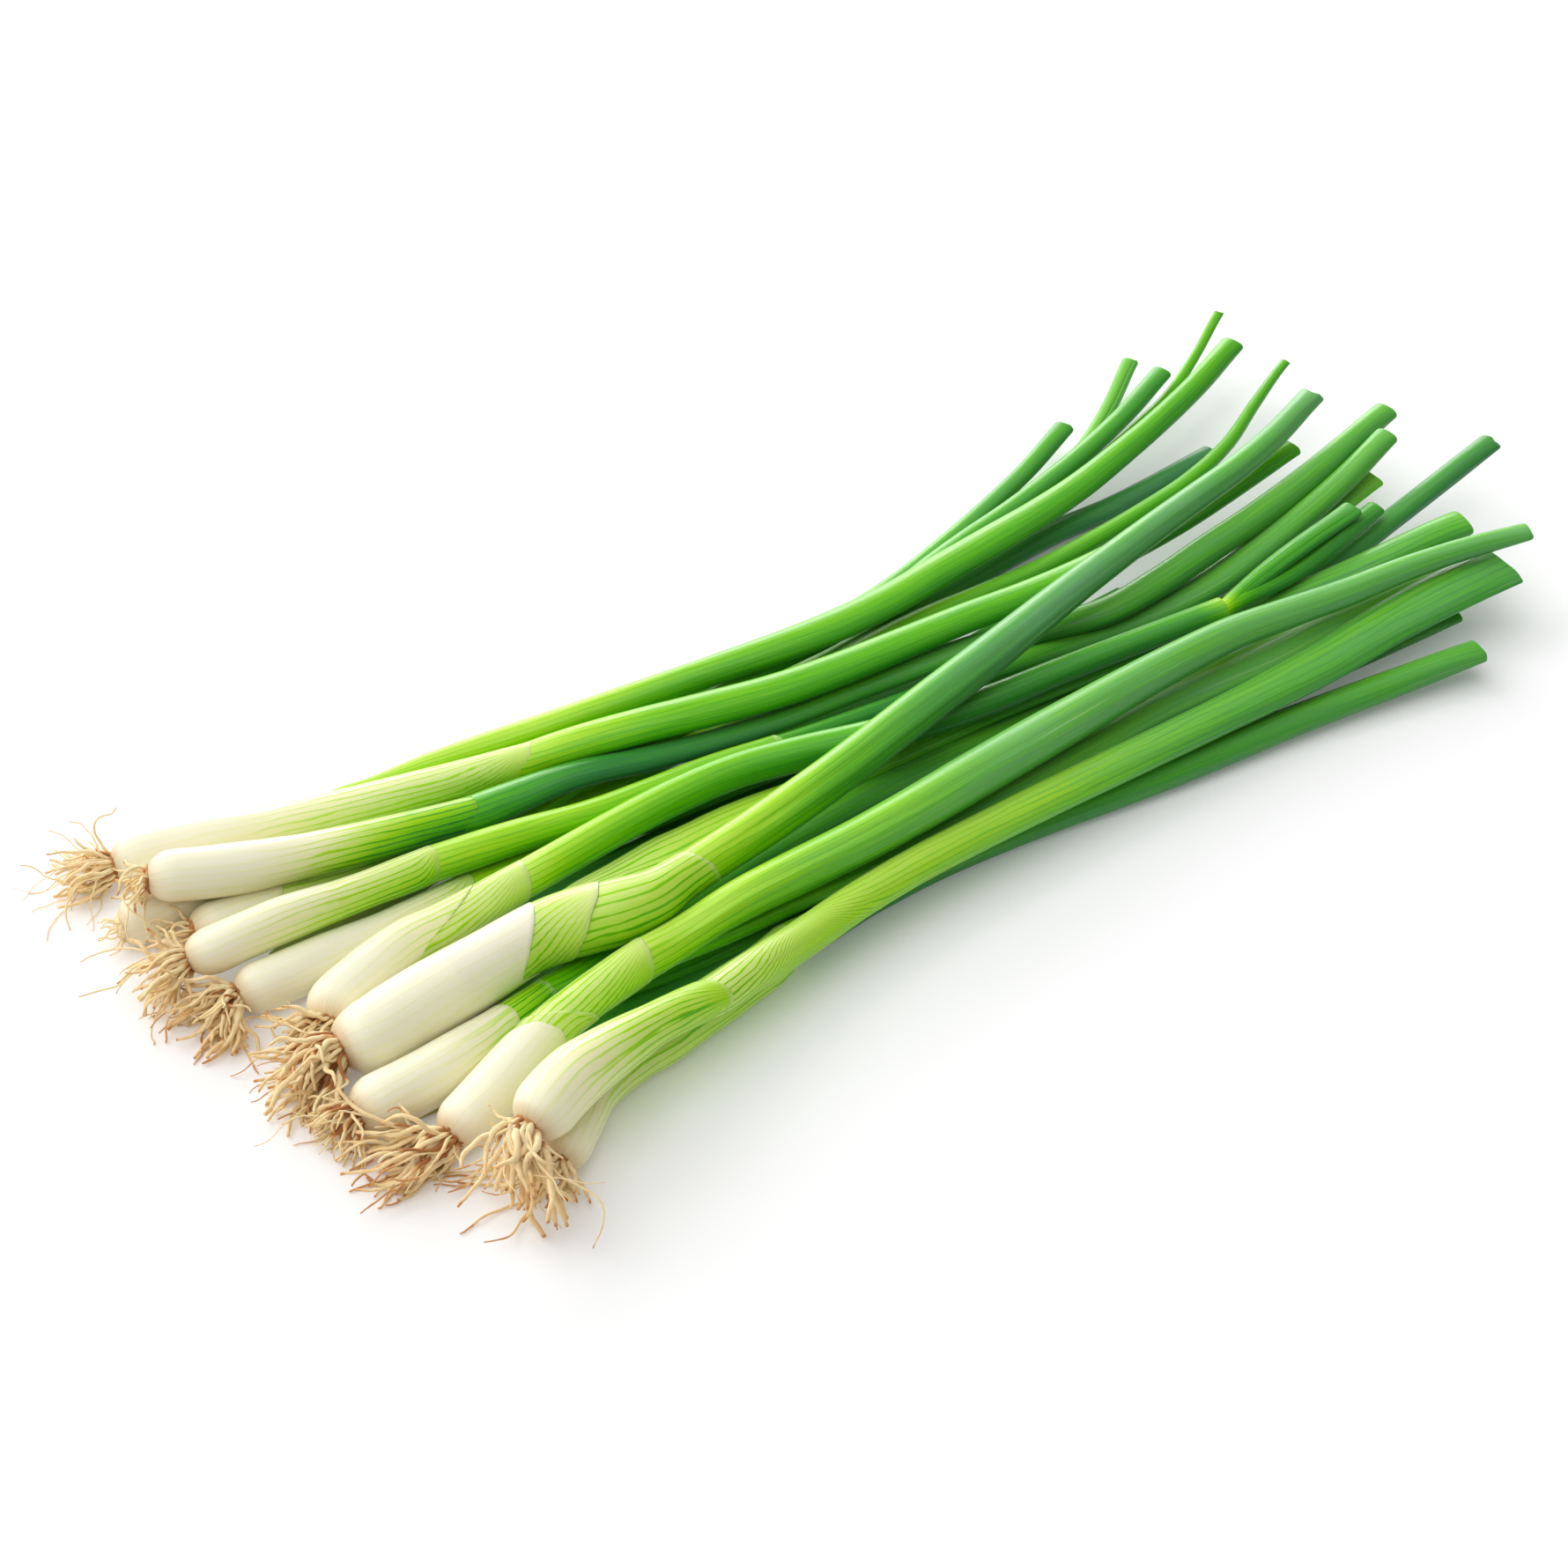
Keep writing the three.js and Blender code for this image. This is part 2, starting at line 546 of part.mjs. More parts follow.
// A tuft: the small brown root plate at the foot of the bulb, and the roots that grow from it.
function tuftGeometry(plate, { heading, reach }, seed, pieces, taken) {
  const { outward, foot, half, centre } = plate;
  const random = seededRandom(seed);
  const turned = outward.clone().applyAxisAngle(up, degToRad(-heading));
  const side = new THREE.Vector3().crossVectors(up, outward).normalize();
  const rise = new THREE.Vector3().crossVectors(outward, side);
  const others = taken.filter(({ owner }) => owner !== seed);
  const isFree = (p) => others.every((o) => o.point.distanceTo(p) > o.radius + rootRadius + airGap);
  const isOut = (p) => p.clone().sub(foot).dot(outward) > rootRadius + jointGap;
  const solids = [asManifold(plateGeometry(plate))];
  for (let i = 0; i < rootsPerTuft; i += 1) {
    const tilt = Math.acos(lerp(0.98, 0.22, (i + 0.5) / rootsPerTuft));
    const around = i * goldenAngle;
    const direction = outward.clone().multiplyScalar(Math.cos(tilt))
      .addScaledVector(side, Math.sin(tilt) * Math.cos(around))
      .addScaledVector(rise, Math.sin(tilt) * Math.sin(around));
    const start = centre.clone().addScaledVector(direction, 0.45 * half);
    for (let tries = 0; tries < rootTries; tries += 1) {
      const length = reach * lerp(1.05, 0.4, tries / rootTries) * lerp(0.75, 1.1, random());
      const points = drawRoot(random, start, direction, outward, turned, length);
      const along = pointsAlong(points);
      const past = along.filter((p) => p.distanceTo(centre) > half + 1);
      if (!along.every(isFree) || !along.every(isOut)) continue;
      if (!past.every((p) => isClearOfPieces(p, pieces))) continue;
      taken.push(...along.map((point) => ({ owner: seed, point, radius: 1.5 * rootRadius })));
      solids.push(asManifold(rootGeometry(points)));
      break;
    }
  }
  return fromManifold(wasm.Manifold.union(solids));
}

// The section that a leaf starts with, and how far above the middle of its parent's end it starts.
// Leaves that grow out of one end lie on top of one another there and share its height.
function collarShare(parent, leaves, letter) {
  const source = (leaf) => (leaf.beside ? null : leaf.from || "stalk");
  const siblings = Object.keys(leaves).filter((other) => source(leaves[other]) === source(leaves[letter]));
  const [half, height] = parent.section(parent.length, parent.length);
  const order = siblings.indexOf(letter);
  if (siblings.length === 1) return { start: [wholeShare * half, wholeShare * height], lift: 0 };
  const share = height / siblings.length;
  return { start: [sharedWidth * half, share - 0.5 * airGap], lift: height - share * (2 * order + 1) };
}

const onionName = (number) => `onion_${String(number + 1).padStart(2, "0")}`;

// Every stalk and leaf, with the start of each leaf pressed into its share of the collar.
function makePieces() {
  const pieces = [];
  onions.forEach((onion, number) => {
    const base = onionName(number);
    const stalk = makePiece(`${base}_stalk`, "stalk", onion.route, stalkSection(onion), null);
    pieces.push(stalk);
    const grown = { stalk };
    for (const [letter, leaf] of Object.entries(onion.leaves)) {
      const parent = leaf.beside ? null : grown[leaf.from || "stalk"];
      const { start, lift } = parent ? collarShare(parent, onion.leaves, letter) : freeStart;
      const foot = parent ? parent.samples[parent.samples.length - 1] : null;
      const route = foot ? [[foot.x, foot.y, foot.z + lift], ...leaf.route] : leaf.route;
      const section = leafSection(leaf, start);
      const piece = makePiece(`${base}_leaf_${letter}`, "leaf", route, section, parent);
      piece.isCut = !Object.values(onion.leaves).some((other) => other.from === letter);
      grown[letter] = piece;
      pieces.push(piece);
    }
  });
  return pieces;
}

function makeMesh(name, kind, geometry) {
  const mesh = new THREE.Mesh(geometry, new THREE.MeshStandardMaterial(colours[kind]));
  mesh.name = name;
  return mesh;
}

const bunch = new THREE.Group();
bunch.name = "spring_onion_bunch";
const pieces = makePieces();
settle(pieces);
for (const piece of pieces) {
  const geometry = piece.kind === "stalk" ? stalkGeometry(piece) : leafGeometry(piece);
  bunch.add(makeMesh(piece.name, piece.kind, geometry));
}
const plates = pieces.filter(({ kind }) => kind === "stalk").map(makePlate);
const taken = plates.map(({ centre, half }, owner) => ({ owner, point: centre, radius: half }));
onions.forEach(({ roots }, number) => {
  const geometry = tuftGeometry(plates[number], roots, number, pieces, taken);
  bunch.add(makeMesh(`${onionName(number)}_roots`, "roots", geometry));
});

// The origin is the middle of the bunch's box, on the table.
const box = new THREE.Box3().setFromObject(bunch);
const centre = box.getCenter(new THREE.Vector3());
bunch.position.set(-centre.x, -centre.y, -box.min.z);

export default bunch;
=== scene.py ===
import math
import random

import bmesh
import bpy
import numpy as np
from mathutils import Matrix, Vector, noise


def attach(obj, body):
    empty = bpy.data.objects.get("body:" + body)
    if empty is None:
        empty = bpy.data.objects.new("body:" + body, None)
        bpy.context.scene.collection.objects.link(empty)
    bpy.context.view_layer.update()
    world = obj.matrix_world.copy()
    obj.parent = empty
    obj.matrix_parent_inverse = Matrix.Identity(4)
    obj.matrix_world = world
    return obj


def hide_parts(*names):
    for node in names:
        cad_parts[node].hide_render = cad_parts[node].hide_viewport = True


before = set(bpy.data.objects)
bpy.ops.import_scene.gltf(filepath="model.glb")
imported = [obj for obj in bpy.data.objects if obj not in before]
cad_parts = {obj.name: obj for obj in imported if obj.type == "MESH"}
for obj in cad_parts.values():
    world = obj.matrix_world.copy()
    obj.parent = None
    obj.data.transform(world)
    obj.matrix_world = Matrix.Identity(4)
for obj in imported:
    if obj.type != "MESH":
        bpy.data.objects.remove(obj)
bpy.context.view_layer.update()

mm = 0.001
upward = Vector((0, 0, 1))

# Camera
cameraValues = {
    "azimuth": -35, "elevation": 42, "lens": 85, "sensor": 36,
    "distance": 0.8406, "target": (-0.0297, -0.0077, 0.014), "clip": (0.05, 20),
}


def setCamera(values):
    turn, rise = math.radians(values["azimuth"]), math.radians(values["elevation"])
    back = Vector((math.sin(turn) * math.cos(rise), -math.cos(turn) * math.cos(rise), math.sin(rise)))
    data = bpy.data.cameras.new("camera")
    data.lens, data.sensor_width = values["lens"], values["sensor"]
    data.clip_start, data.clip_end = values["clip"]
    camera = bpy.data.objects.new("camera", data)
    camera.location = Vector(values["target"]) + back * values["distance"]
    camera.rotation_mode = "QUATERNION"
    camera.rotation_quaternion = (-back).to_track_quat("-Z", "Y")
    bpy.context.collection.objects.link(camera)
    bpy.context.scene.camera = camera


setCamera(cameraValues)
print("camera set")


# Routes, read off the CAD tubes

# lengths in millimetres
routeValues = {
    "glance": 1.5,  # how far before and after a place its way is measured
    "flatEnd": 0.2,  # a flat end's pole lies nearer to its ring than this
    "stretch": 26, "eased": (0, 5, 10, 15, 20),  # where a leaf eases out of its sheath
    "hidden": [(8, 0.6), (3, 0.8), (0, 0.9)],  # its start in there: farther down, share of the girth
    "drawnOut": [(1, 0.8), (0.5, 0.95)], "slope": 0.15,  # share of the way back, share of the girth
}


class Route:
    # the centre line of a tube with its half width and half height, by distance in millimetres
    def __init__(self, distance, knots):
        self.distance, self.knots = np.array(distance, float), np.array(knots, float)
        self.slopes = np.gradient(self.knots, self.distance, axis=0)
        # no overshoot in the widths, which change fast near the ends
        rates = np.diff(self.knots[:, 3:], axis=0) / np.diff(self.distance)[:, None]
        before, after = np.vstack([rates[:1], rates]), np.vstack([rates, rates[-1:]])
        calm = np.where(before * after > 0, 2 * before * after / (before + after + 1e-12), 0)
        self.slopes[:, 3:] = calm
        self.length = self.distance[-1]

    def read(self, s):
        s = np.clip(s, self.distance[0], self.distance[-1])
        i = np.clip(np.searchsorted(self.distance, s) - 1, 0, len(self.distance) - 2)
        gap = self.distance[i + 1] - self.distance[i]
        t = ((s - self.distance[i]) / gap)[:, None]
        gap = gap[:, None]
        low, high = self.knots[i], self.knots[i + 1]
        return (
            (2 * t**3 - 3 * t**2 + 1) * low + (t**3 - 2 * t**2 + t) * gap * self.slopes[i]
            + (3 * t**2 - 2 * t**3) * high + (t**3 - t**2) * gap * self.slopes[i + 1]
        )

    def axes(self, s):
        s = np.clip(s, self.distance[0], self.distance[-1])
        glance = routeValues["glance"]
        ahead = self.read(s + glance)[:, :3] - self.read(s - glance)[:, :3]
        ahead /= np.linalg.norm(ahead, axis=1)[:, None]
        side = np.cross([0, 0, 1], ahead)
        side /= np.linalg.norm(side, axis=1)[:, None]
        return ahead, side, np.cross(ahead, side)


def readRings(node):
    # the rings of a CAD tube, from its end nearer the roots
    bm = bmesh.new()
    bm.from_mesh(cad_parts[node].data)
    bmesh.ops.remove_doubles(bm, verts=bm.verts, dist=1e-5)
    poles = [v for v in bm.verts if len(v.link_edges) >= 8]
    layer = [min(poles, key=lambda v: v.co.x)]
    seen, rings = set(layer), []
    while layer:
        rings.append(np.array([v.co[:] for v in layer]) / mm)
        layer = list({e.other_vert(v) for v in layer for e in v.link_edges} - seen)
        seen.update(layer)
    bm.free()
    return rings


def makeRoute(rings):
    # A flat end's pole is left off. The cut end of a leaf keeps its full width up to its pole.
    if np.linalg.norm(rings[0][0] - rings[1].mean(axis=0)) < routeValues["flatEnd"]:
        rings = rings[1:]
    isFlat = np.linalg.norm(rings[-1][0] - rings[-2].mean(axis=0)) < routeValues["flatEnd"]
    rings = rings[:-1] if isFlat else rings[:-2] + rings[-1:]
    centres = np.array([ring.mean(axis=0) for ring in rings])
    distance = np.concatenate([[0], np.cumsum(np.linalg.norm(np.diff(centres, axis=0), axis=1))])
    ahead = np.gradient(centres, distance, axis=0)
    knots = []
    for ring, centre, way in zip(rings, centres, ahead):
        way = way / np.linalg.norm(way)
        side = np.cross([0, 0, 1], way)
        side /= np.linalg.norm(side)
        axes = (side, np.cross(way, side))
        spread = [math.sqrt(2 * np.mean(((ring - centre) @ axis) ** 2)) for axis in axes]
        knots.append([*centre, *spread])
    if not isFlat:
        knots[-1][3:] = knots[-2][3:]
    return Route(distance, knots)


# A leaf's route with a hidden start inside the sheath that it grows out of. Over its first stretch it
# eases from the middle of that sheath, and from the sheath's width, to its own.
def withLead(route, parent, near, fill):
    end, stretch = parent.knots[-1], routeValues["stretch"]
    leads, distance = [], []
    for farther, scale in routeValues["hidden"]:
        place = parent.read(np.array([parent.length - (near + farther)]))[0]
        leads.append([*place[:3], *(place[3:] * fill * scale)])
        distance.append(-near - farther)
    for s in routeValues["eased"]:
        own = route.read(np.array([float(s)]))[0]
        ease = (1 - s / stretch) ** 2 * (1 + 2 * s / stretch)
        place = own[:3] + (end[:3] - route.knots[0][:3]) * ease
        leads.append([*place, *(own[3:] + (end[3:] * fill - own[3:]) * ease)])
        distance.append(s)
    rest = route.distance > stretch - 2
    return Route([*distance, *route.distance[rest]], leads + [list(k) for k in route.knots[rest]])


# a route with another girth, as a share of its own, and shifted towards the back
def moved(route, girth, shift):
    knots = route.knots.copy()
    knots[:, 3:] *= girth
    knots[:, 1] += shift
    return Route(route.distance, knots)


# a route drawn out backwards, narrowing, to start farther down among the stalks
def reachedBack(route, far):
    first, way = route.knots[0], route.axes(np.array([2.0]))[0][0]
    whole = way * far + np.array([0, 0, routeValues["slope"] * far])
    leads, distance = [], []
    for share, girth in routeValues["drawnOut"]:
        leads.append([*(first[:3] - whole * share), *(first[3:] * girth)])
        distance.append(-far * share)
    return Route([*distance, *route.distance], leads + [list(k) for k in route.knots])


# Tubes

# lengths in millimetres
tubeValues = {
    "lowest": 0.02,  # no point goes below this height
    "wall": 0.2, "mouth": 9,  # how deep an open end is hollow
    "patternStep": 61.7,  # how far apart the tubes lie in the noises
    "waves": (2, 3, 5, 7), "waveTurn": (0.004, 0.02), "rippleEase": 15,  # ripples round a tube
    "crease": 0.16, "ridgeOff": 0.35, "ridgeWidth": 0.25, "ridge": 0.5,  # a crease and a ridge beside it
}


def wrapped(angle):
    return (angle + math.pi) % (2 * math.pi) - math.pi


def bentTube(name, route, stations, sides, shape):
    # A sphere's rings are set out along the route. Each station gives a ring's distance, how far it
    # stands out of the section, its scale and how much of the end's slant it takes.
    steps = len(stations) - 1
    bm = bmesh.new()
    bmesh.ops.create_uvsphere(bm, u_segments=sides, v_segments=steps, radius=1)
    mesh = bpy.data.meshes.new(name)
    bm.to_mesh(mesh)
    bm.free()
    ball = np.empty(3 * len(mesh.vertices))
    mesh.vertices.foreach_get("co", ball)
    ball = ball.reshape(-1, 3)
    row = np.rint((1 - np.arccos(np.clip(ball[:, 2], -1, 1)) / math.pi) * steps).astype(int)
    around = np.arctan2(ball[:, 1], ball[:, 0])
    table = np.array(stations)[row]
    recede = shape["recede"](around) if "recede" in shape else 0
    s = table[:, 0] - table[:, 3] * recede
    knots = route.read(s)
    ahead, side, rise = route.axes(s)
    beyond = np.clip(s - route.length, 0, None) + np.clip(s - route.distance[0], None, 0)
    grow, scale = table[:, 1], table[:, 2]
    across, high = (knots[:, 3] + grow) * scale, (knots[:, 4] + grow) * scale
    if "pinch" in shape:
        across, high = shape["pinch"](s, across, high)
    ripple = shape["ripple"](s, around)
    if "calm" in shape:
        ripple = 1 + (ripple - 1) * np.clip((s - shape["calm"]) / tubeValues["rippleEase"], 0, 1)
    place = (
        knots[:, :3] + ahead * beyond[:, None]
        + side * (across * ripple * np.cos(around))[:, None]
        + rise * (high * ripple * np.sin(around))[:, None]
    )
    place[:, 2] = np.maximum(place[:, 2], tubeValues["lowest"])
    mesh.vertices.foreach_set("co", (place * mm).ravel())
    radius, start = shape["radius"], shape["seed"] * tubeValues["patternStep"]
    straight = np.column_stack([radius * np.cos(around), radius * np.sin(around), s + start])
    keepValues(mesh, "straight", straight, "FLOAT_VECTOR", "vector")
    for label, values in shape["looks"](s, around, table[:, 3]).items():
        keepValues(mesh, label, np.broadcast_to(values, s.shape), "FLOAT", "value")
    mesh.shade_smooth()
    piece = bpy.data.objects.new(name, mesh)
    bpy.context.collection.objects.link(piece)
    return piece


def keepValues(mesh, label, values, kind, field):
    layer = mesh.attributes.new(label, kind, "POINT")
    layer.data.foreach_set(field, np.ascontiguousarray(values, "f").ravel())


def readKnots(pairs, s):
    known, values = zip(*pairs)
    return np.interp(s, known, values)


def rippleMaker(seed, depth, creases=()):
    chance, waves = random.Random(seed), []
    for count in tubeValues["waves"]:
        phase, turn = chance.uniform(0, 6.3), chance.uniform(*tubeValues["waveTurn"])
        waves.append((count, phase, turn, depth / count))

    def ripple(s, around):
        total = np.ones_like(around)
        for count, phase, turn, amount in waves:
            total += amount * np.sin(count * around + phase + turn * s)
        for side, turn, deep in creases:
            off = wrapped(around - np.radians(side + turn * 0.01 * s))  # turn is per 100 mm
            ridge = np.exp(-((off - tubeValues["ridgeOff"]) / tubeValues["ridgeWidth"]) ** 2)
            total -= deep * (np.exp(-(off / tubeValues["crease"]) ** 2) - tubeValues["ridge"] * ridge)
        return total

    return ripple


# Materials


class Wire:
    # a node's output, so that shader maths can be written as an expression
    def __init__(self, paint, socket):
        self.paint, self.socket = paint, socket

    def maths(self, operation, *others, clamp=False):
        settings = {"operation": operation, "use_clamp": clamp}
        return self.paint.node("ShaderNodeMath", settings, dict(enumerate([self, *others])))

    def __add__(self, other):
        return self.maths("ADD", other)

    __radd__ = __add__

    def __sub__(self, other):
        return self.maths("SUBTRACT", other)

    def __mul__(self, other):
        return self.maths("MULTIPLY", other)

    def clamp(self):
        return self.maths("ADD", 0, clamp=True)

    def step(self, low, high):
        values = {"Value": self, "From Min": low, "From Max": high}
        return self.paint.node("ShaderNodeMapRange", {"interpolation_type": "SMOOTHSTEP"}, values)


class Paint:
    # a material; an underscore in a label stands for a space
    def __init__(self, name, **fixed):
        self.material = bpy.data.materials.new(name)
        self.material.use_nodes = True
        self.tree = self.material.node_tree
        self.shader = self.tree.nodes["Principled BSDF"]
        for label, value in fixed.items():
            self.shader.inputs[label.replace("_", " ")].default_value = value

    def node(self, kind, settings=None, values=None, output=0):
        made = self.tree.nodes.new(kind)
        for label, value in (settings or {}).items():
            if label == "stops":
                ramp = made.color_ramp
                while len(ramp.elements) < len(value):
                    ramp.elements.new(0.5)
                for element, (position, tint) in zip(ramp.elements, value):
                    element.position, element.color = position, tint
            else:
                setattr(made, label, value)
        for label, value in (values or {}).items():
            if isinstance(value, Wire):
                self.tree.links.new(value.socket, made.inputs[label])
            else:
                made.inputs[label].default_value = value
        return Wire(self, made.outputs[output])

    def attribute(self, label, output="Fac"):
        return self.node("ShaderNodeAttribute", {"attribute_name": label}, output=output)

    def stretched(self, scale, detail, roughness):
        straight = self.attribute("straight", "Vector")
        place = self.node("ShaderNodeVectorMath", {"operation": "MULTIPLY"}, {0: straight, 1: scale})
        values = {"Vector": place, "Scale": 1.0, "Detail": detail, "Roughness": roughness}
        return self.node("ShaderNodeTexNoise", None, values)

    def mix(self, factor, low, high, blend="MIX"):
        # a colour mix has its factor, colours and result at these places among its sockets
        values = {0: factor, 6: low, 7: high}
        return self.node("ShaderNodeMix", {"data_type": "RGBA", "blend_type": blend}, values, output=2)

    def bump(self, height):
        return self.node("ShaderNodeBump", None, {"Strength": 0.4, "Distance": 0.0002, "Height": height})

    def finish(self, **wires):
        for label, wire in wires.items():
            self.tree.links.new(wire.socket, self.shader.inputs[label.replace("_", " ")])
        return self.material


def colour(red, green, blue):
    # screen values from 0 to 255, as the linear colour that a socket takes
    parts = [c / 255 for c in (red, green, blue)]
    return (*[c / 12.92 if c <= 0.04045 else ((c + 0.055) / 1.055) ** 2.4 for c in parts], 1)


skinValues = {
    "tones": [
        (0.00, colour(251, 246, 218)), (0.12, colour(246, 243, 192)), (0.25, colour(222, 238, 150)),
        (0.38, colour(196, 232, 88)), (0.50, colour(168, 222, 16)), (0.60, colour(128, 204, 2)),
        (0.70, colour(90, 182, 4)), (0.80, colour(62, 156, 22)), (0.90, colour(44, 132, 44)),
        (1.00, colour(36, 112, 66)),
    ],
    # the earth colour is real soil near the root plate and painted warm shade on the undersides and on the
    # flat strips between the bulbs
    # the wax colour is a pale bloom, partly real wax and partly painted sheen laid on the upper sides
    "wax": colour(140, 194, 148), "rim": colour(224, 232, 180), "earth": colour(206, 168, 112),
    "scratch": colour(176, 214, 150), "scratchEdge": (0.66, 0.74), "scratches": 0.6,
    "veinPitch": 1.5, "veinDepth": 0.24, "veinSway": 9,  # millimetres, tone, how far they wander
    "streaks": 0.34, "clouds": 0.16, "hairs": 0.3,  # how much each noise changes the tone
    "noises": {  # scale across and along the tube, detail, roughness
        "sway": ((0.4, 0.4, 0.05), 3, 0.5), "streak": ((3.4, 3.4, 0.03), 5, 0.65),
        "cloud": ((0.25, 0.25, 0.03), 3, 0.5), "hair": ((9.0, 9.0, 0.05), 2, 0.5),
        "scratch": ((1.3, 1.3, 0.016), 1, 0.4), "fine": ((5.0, 5.0, 0.12), 2, 0.6),
    },
}


def skinMaterial(name, values, **fixed):
    paint = Paint(name, IOR=1.4, Sheen_Roughness=0.25, **fixed)
    tone, vein, lines = (paint.attribute(label) for label in ("tone", "vein", "lines"))
    waxAndSheenAmount, rim, earth = (paint.attribute(label) for label in ("wax", "rim", "earth"))
    sway, streak, cloud, hair, scratch, fine = (paint.stretched(*row) for row in values["noises"].values())
    wave = (vein * (2 * math.pi / values["veinPitch"]) + sway * values["veinSway"]).maths("COSINE")
    line = wave.step(0.45, 1.0)
    shade = (
        tone + lines * (line - 0.25) * values["veinDepth"]
        + (streak - 0.5) * (tone * values["streaks"] + 0.03) + (cloud - 0.5) * tone * values["clouds"]
        + (hair - 0.5) * (tone * values["hairs"] + 0.02)
    )
    base = paint.node("ShaderNodeValToRGB", {"stops": values["tones"]}, {"Fac": shade})
    # the bloom is strongest on the upper side, so it is partly painted sheen
    bloomAndSheen = (waxAndSheenAmount * (streak * 0.8 + cloud * 0.9 - 0.45)).clamp()
    skin = paint.mix(bloomAndSheen, base, values["wax"])
    # the whitish scratches follow the same upper-side mask, so they are partly painted sheen too
    scratched = scratch.step(*values["scratchEdge"]) * waxAndSheenAmount * values["scratches"]
    skin = paint.mix(scratched.clamp(), skin, values["scratch"])
    # earth colour: real soil near the plate, painted warm shade on the undersides and on the flat strips
    # under the bulbs
    skin = paint.mix((earth * (streak * 1.4 + 0.1)).clamp(), skin, values["earth"])
    skin = paint.mix(rim, skin, values["rim"])
    rough = 0.2 + streak * 0.12 + bloomAndSheen * 0.16
    height = lines * line * 0.6 + streak * 0.5 + fine * 0.25
    return paint.finish(Base_Color=skin, Roughness=rough, Normal=paint.bump(height))


stalkSkin = skinMaterial("stalkSkin", skinValues, Sheen_Weight=0.1, Subsurface_Weight=0.15,
                         Subsurface_Radius=(1.0, 0.85, 0.5), Subsurface_Scale=0.001)
leafSkin = skinMaterial("leafSkin", skinValues, Sheen_Weight=0.12, Subsurface_Weight=0.1,
                        Subsurface_Radius=(0.5, 1.0, 0.1), Subsurface_Scale=0.001)
print("skin materials made")

# What each onion looks like

# Sides of a tube are in degrees, from the back, 0, over the top, 90, to the front, 180. Distances run
# along it in millimetres. Tone runs from cream, 0, through lime, 0.5, to deep green, 1.
#
# A stalk's sheath layers, outermost first: how far up each reaches at its highest point, how far its
# edge slants down, the side of that point, the length over which its veins gather towards it, if they
# do, its tone by distance, how much greener and deeper its lower side is, partly its own greening and
# partly painted shade, and how pale its rim is if not as usual.
# A lobe is a tongue of the edge: side, length, breadth in degrees.
stalkLooks = {
    1: [{"end": 98.5, "slant": 2.5, "apex": 62, "gather": 26, "under": 0.1,
         "tones": [[0, 0.0], [25, 0.03], [45, 0.2], [70, 0.32], [98, 0.42]]}],
    2: [{"end": 75.5, "slant": 1.5, "apex": 62, "under": 0.22, "rim": 0.05,
         "tones": [[0, 0.0], [22, 0.02], [32, 0.14], [42, 0.36], [50, 0.54], [60, 0.67], [76, 0.77]]}],
    3: [{"end": 89, "slant": 2, "apex": 60, "gather": 8, "under": 0.1,
         "tones": [[0, 0.0], [30, 0.04], [50, 0.25], [89, 0.5]]}],
    4: [{"end": 22, "slant": 7, "apex": 60, "under": 0.05, "tones": [[0, 0.02], [22, 0.14]]},
        {"end": 70, "slant": 2, "apex": 60, "gather": 8, "under": 0.1,
         "tones": [[8, 0.3], [20, 0.38], [40, 0.44], [70, 0.55]]}],
    5: [{"end": 60, "slant": 2.5, "apex": 75, "gather": 8, "under": 0.2, "rim": 0.25,
         "tones": [[0, 0.0], [10, 0.04], [25, 0.2], [38, 0.36], [50, 0.46], [60, 0.5]]}],
    6: [{"end": 60.5, "slant": 2, "apex": 70, "gather": 8, "under": 0.08,
         "tones": [[0, 0.0], [30, 0.02], [45, 0.14], [60, 0.4]]}],
    7: [{"end": 47, "slant": 27, "apex": 50, "under": 0.03, "rim": 0,
         "tones": [[0, 0.0], [18, 0.06], [34, 0.22], [47, 0.32]]},
        {"end": 59.5, "slant": 3, "apex": 62, "gather": 24, "under": 0.05,
         "tones": [[12, 0.18], [24, 0.32], [44, 0.33], [59, 0.36]]}],
    8: [{"end": 52, "slant": 13, "apex": 55, "under": 0.05,
         "tones": [[0, 0.0], [34, 0.0], [52, 0.03]], "lobe": (225, 8, 22)},
        {"end": 66, "slant": 10, "apex": 58, "gather": 30, "under": 0.06,
         "tones": [[30, 0.34], [48, 0.42], [60, 0.36], [66, 0.3]]},
        {"end": 92.5, "slant": 4.5, "apex": 215, "under": 0.12,
         "tones": [[50, 0.36], [70, 0.47], [85, 0.5], [92, 0.45]]}],
    9: [{"end": 42, "slant": 4, "apex": 100, "under": 0.22,
         "tones": [[0, 0.0], [20, 0.04], [34, 0.2], [42, 0.34]]},
        {"end": 53.5, "slant": 1, "apex": 90, "under": 0.1, "tones": [[30, 0.5], [53, 0.7]]}],
    10: [{"end": 34, "slant": 10, "apex": 150, "under": 0.02,
          "tones": [[0, 0.0], [22, 0.01], [34, 0.1]]},
         {"end": 44, "slant": 13, "apex": 205, "gather": 8, "under": 0.05,
          "tones": [[16, 0.3], [30, 0.36], [44, 0.4]]},
         {"end": 62, "slant": 3.5, "apex": 62, "gather": 26, "under": 0.08,
          "tones": [[26, 0.34], [40, 0.42], [52, 0.44], [61, 0.4]]}],
    11: [{"end": 57.5, "slant": 9, "apex": 148, "gather": 20, "under": 0.05,
          "tones": [[0, 0.02], [12, 0.13], [30, 0.36], [45, 0.48], [57, 0.5]]}],
    12: [{"end": 83.5, "slant": 2, "apex": 90, "gather": 6, "under": 0.04,
          "tones": [[0, 0.03], [8, 0.1], [25, 0.3], [45, 0.42], [83, 0.5]]}],
}
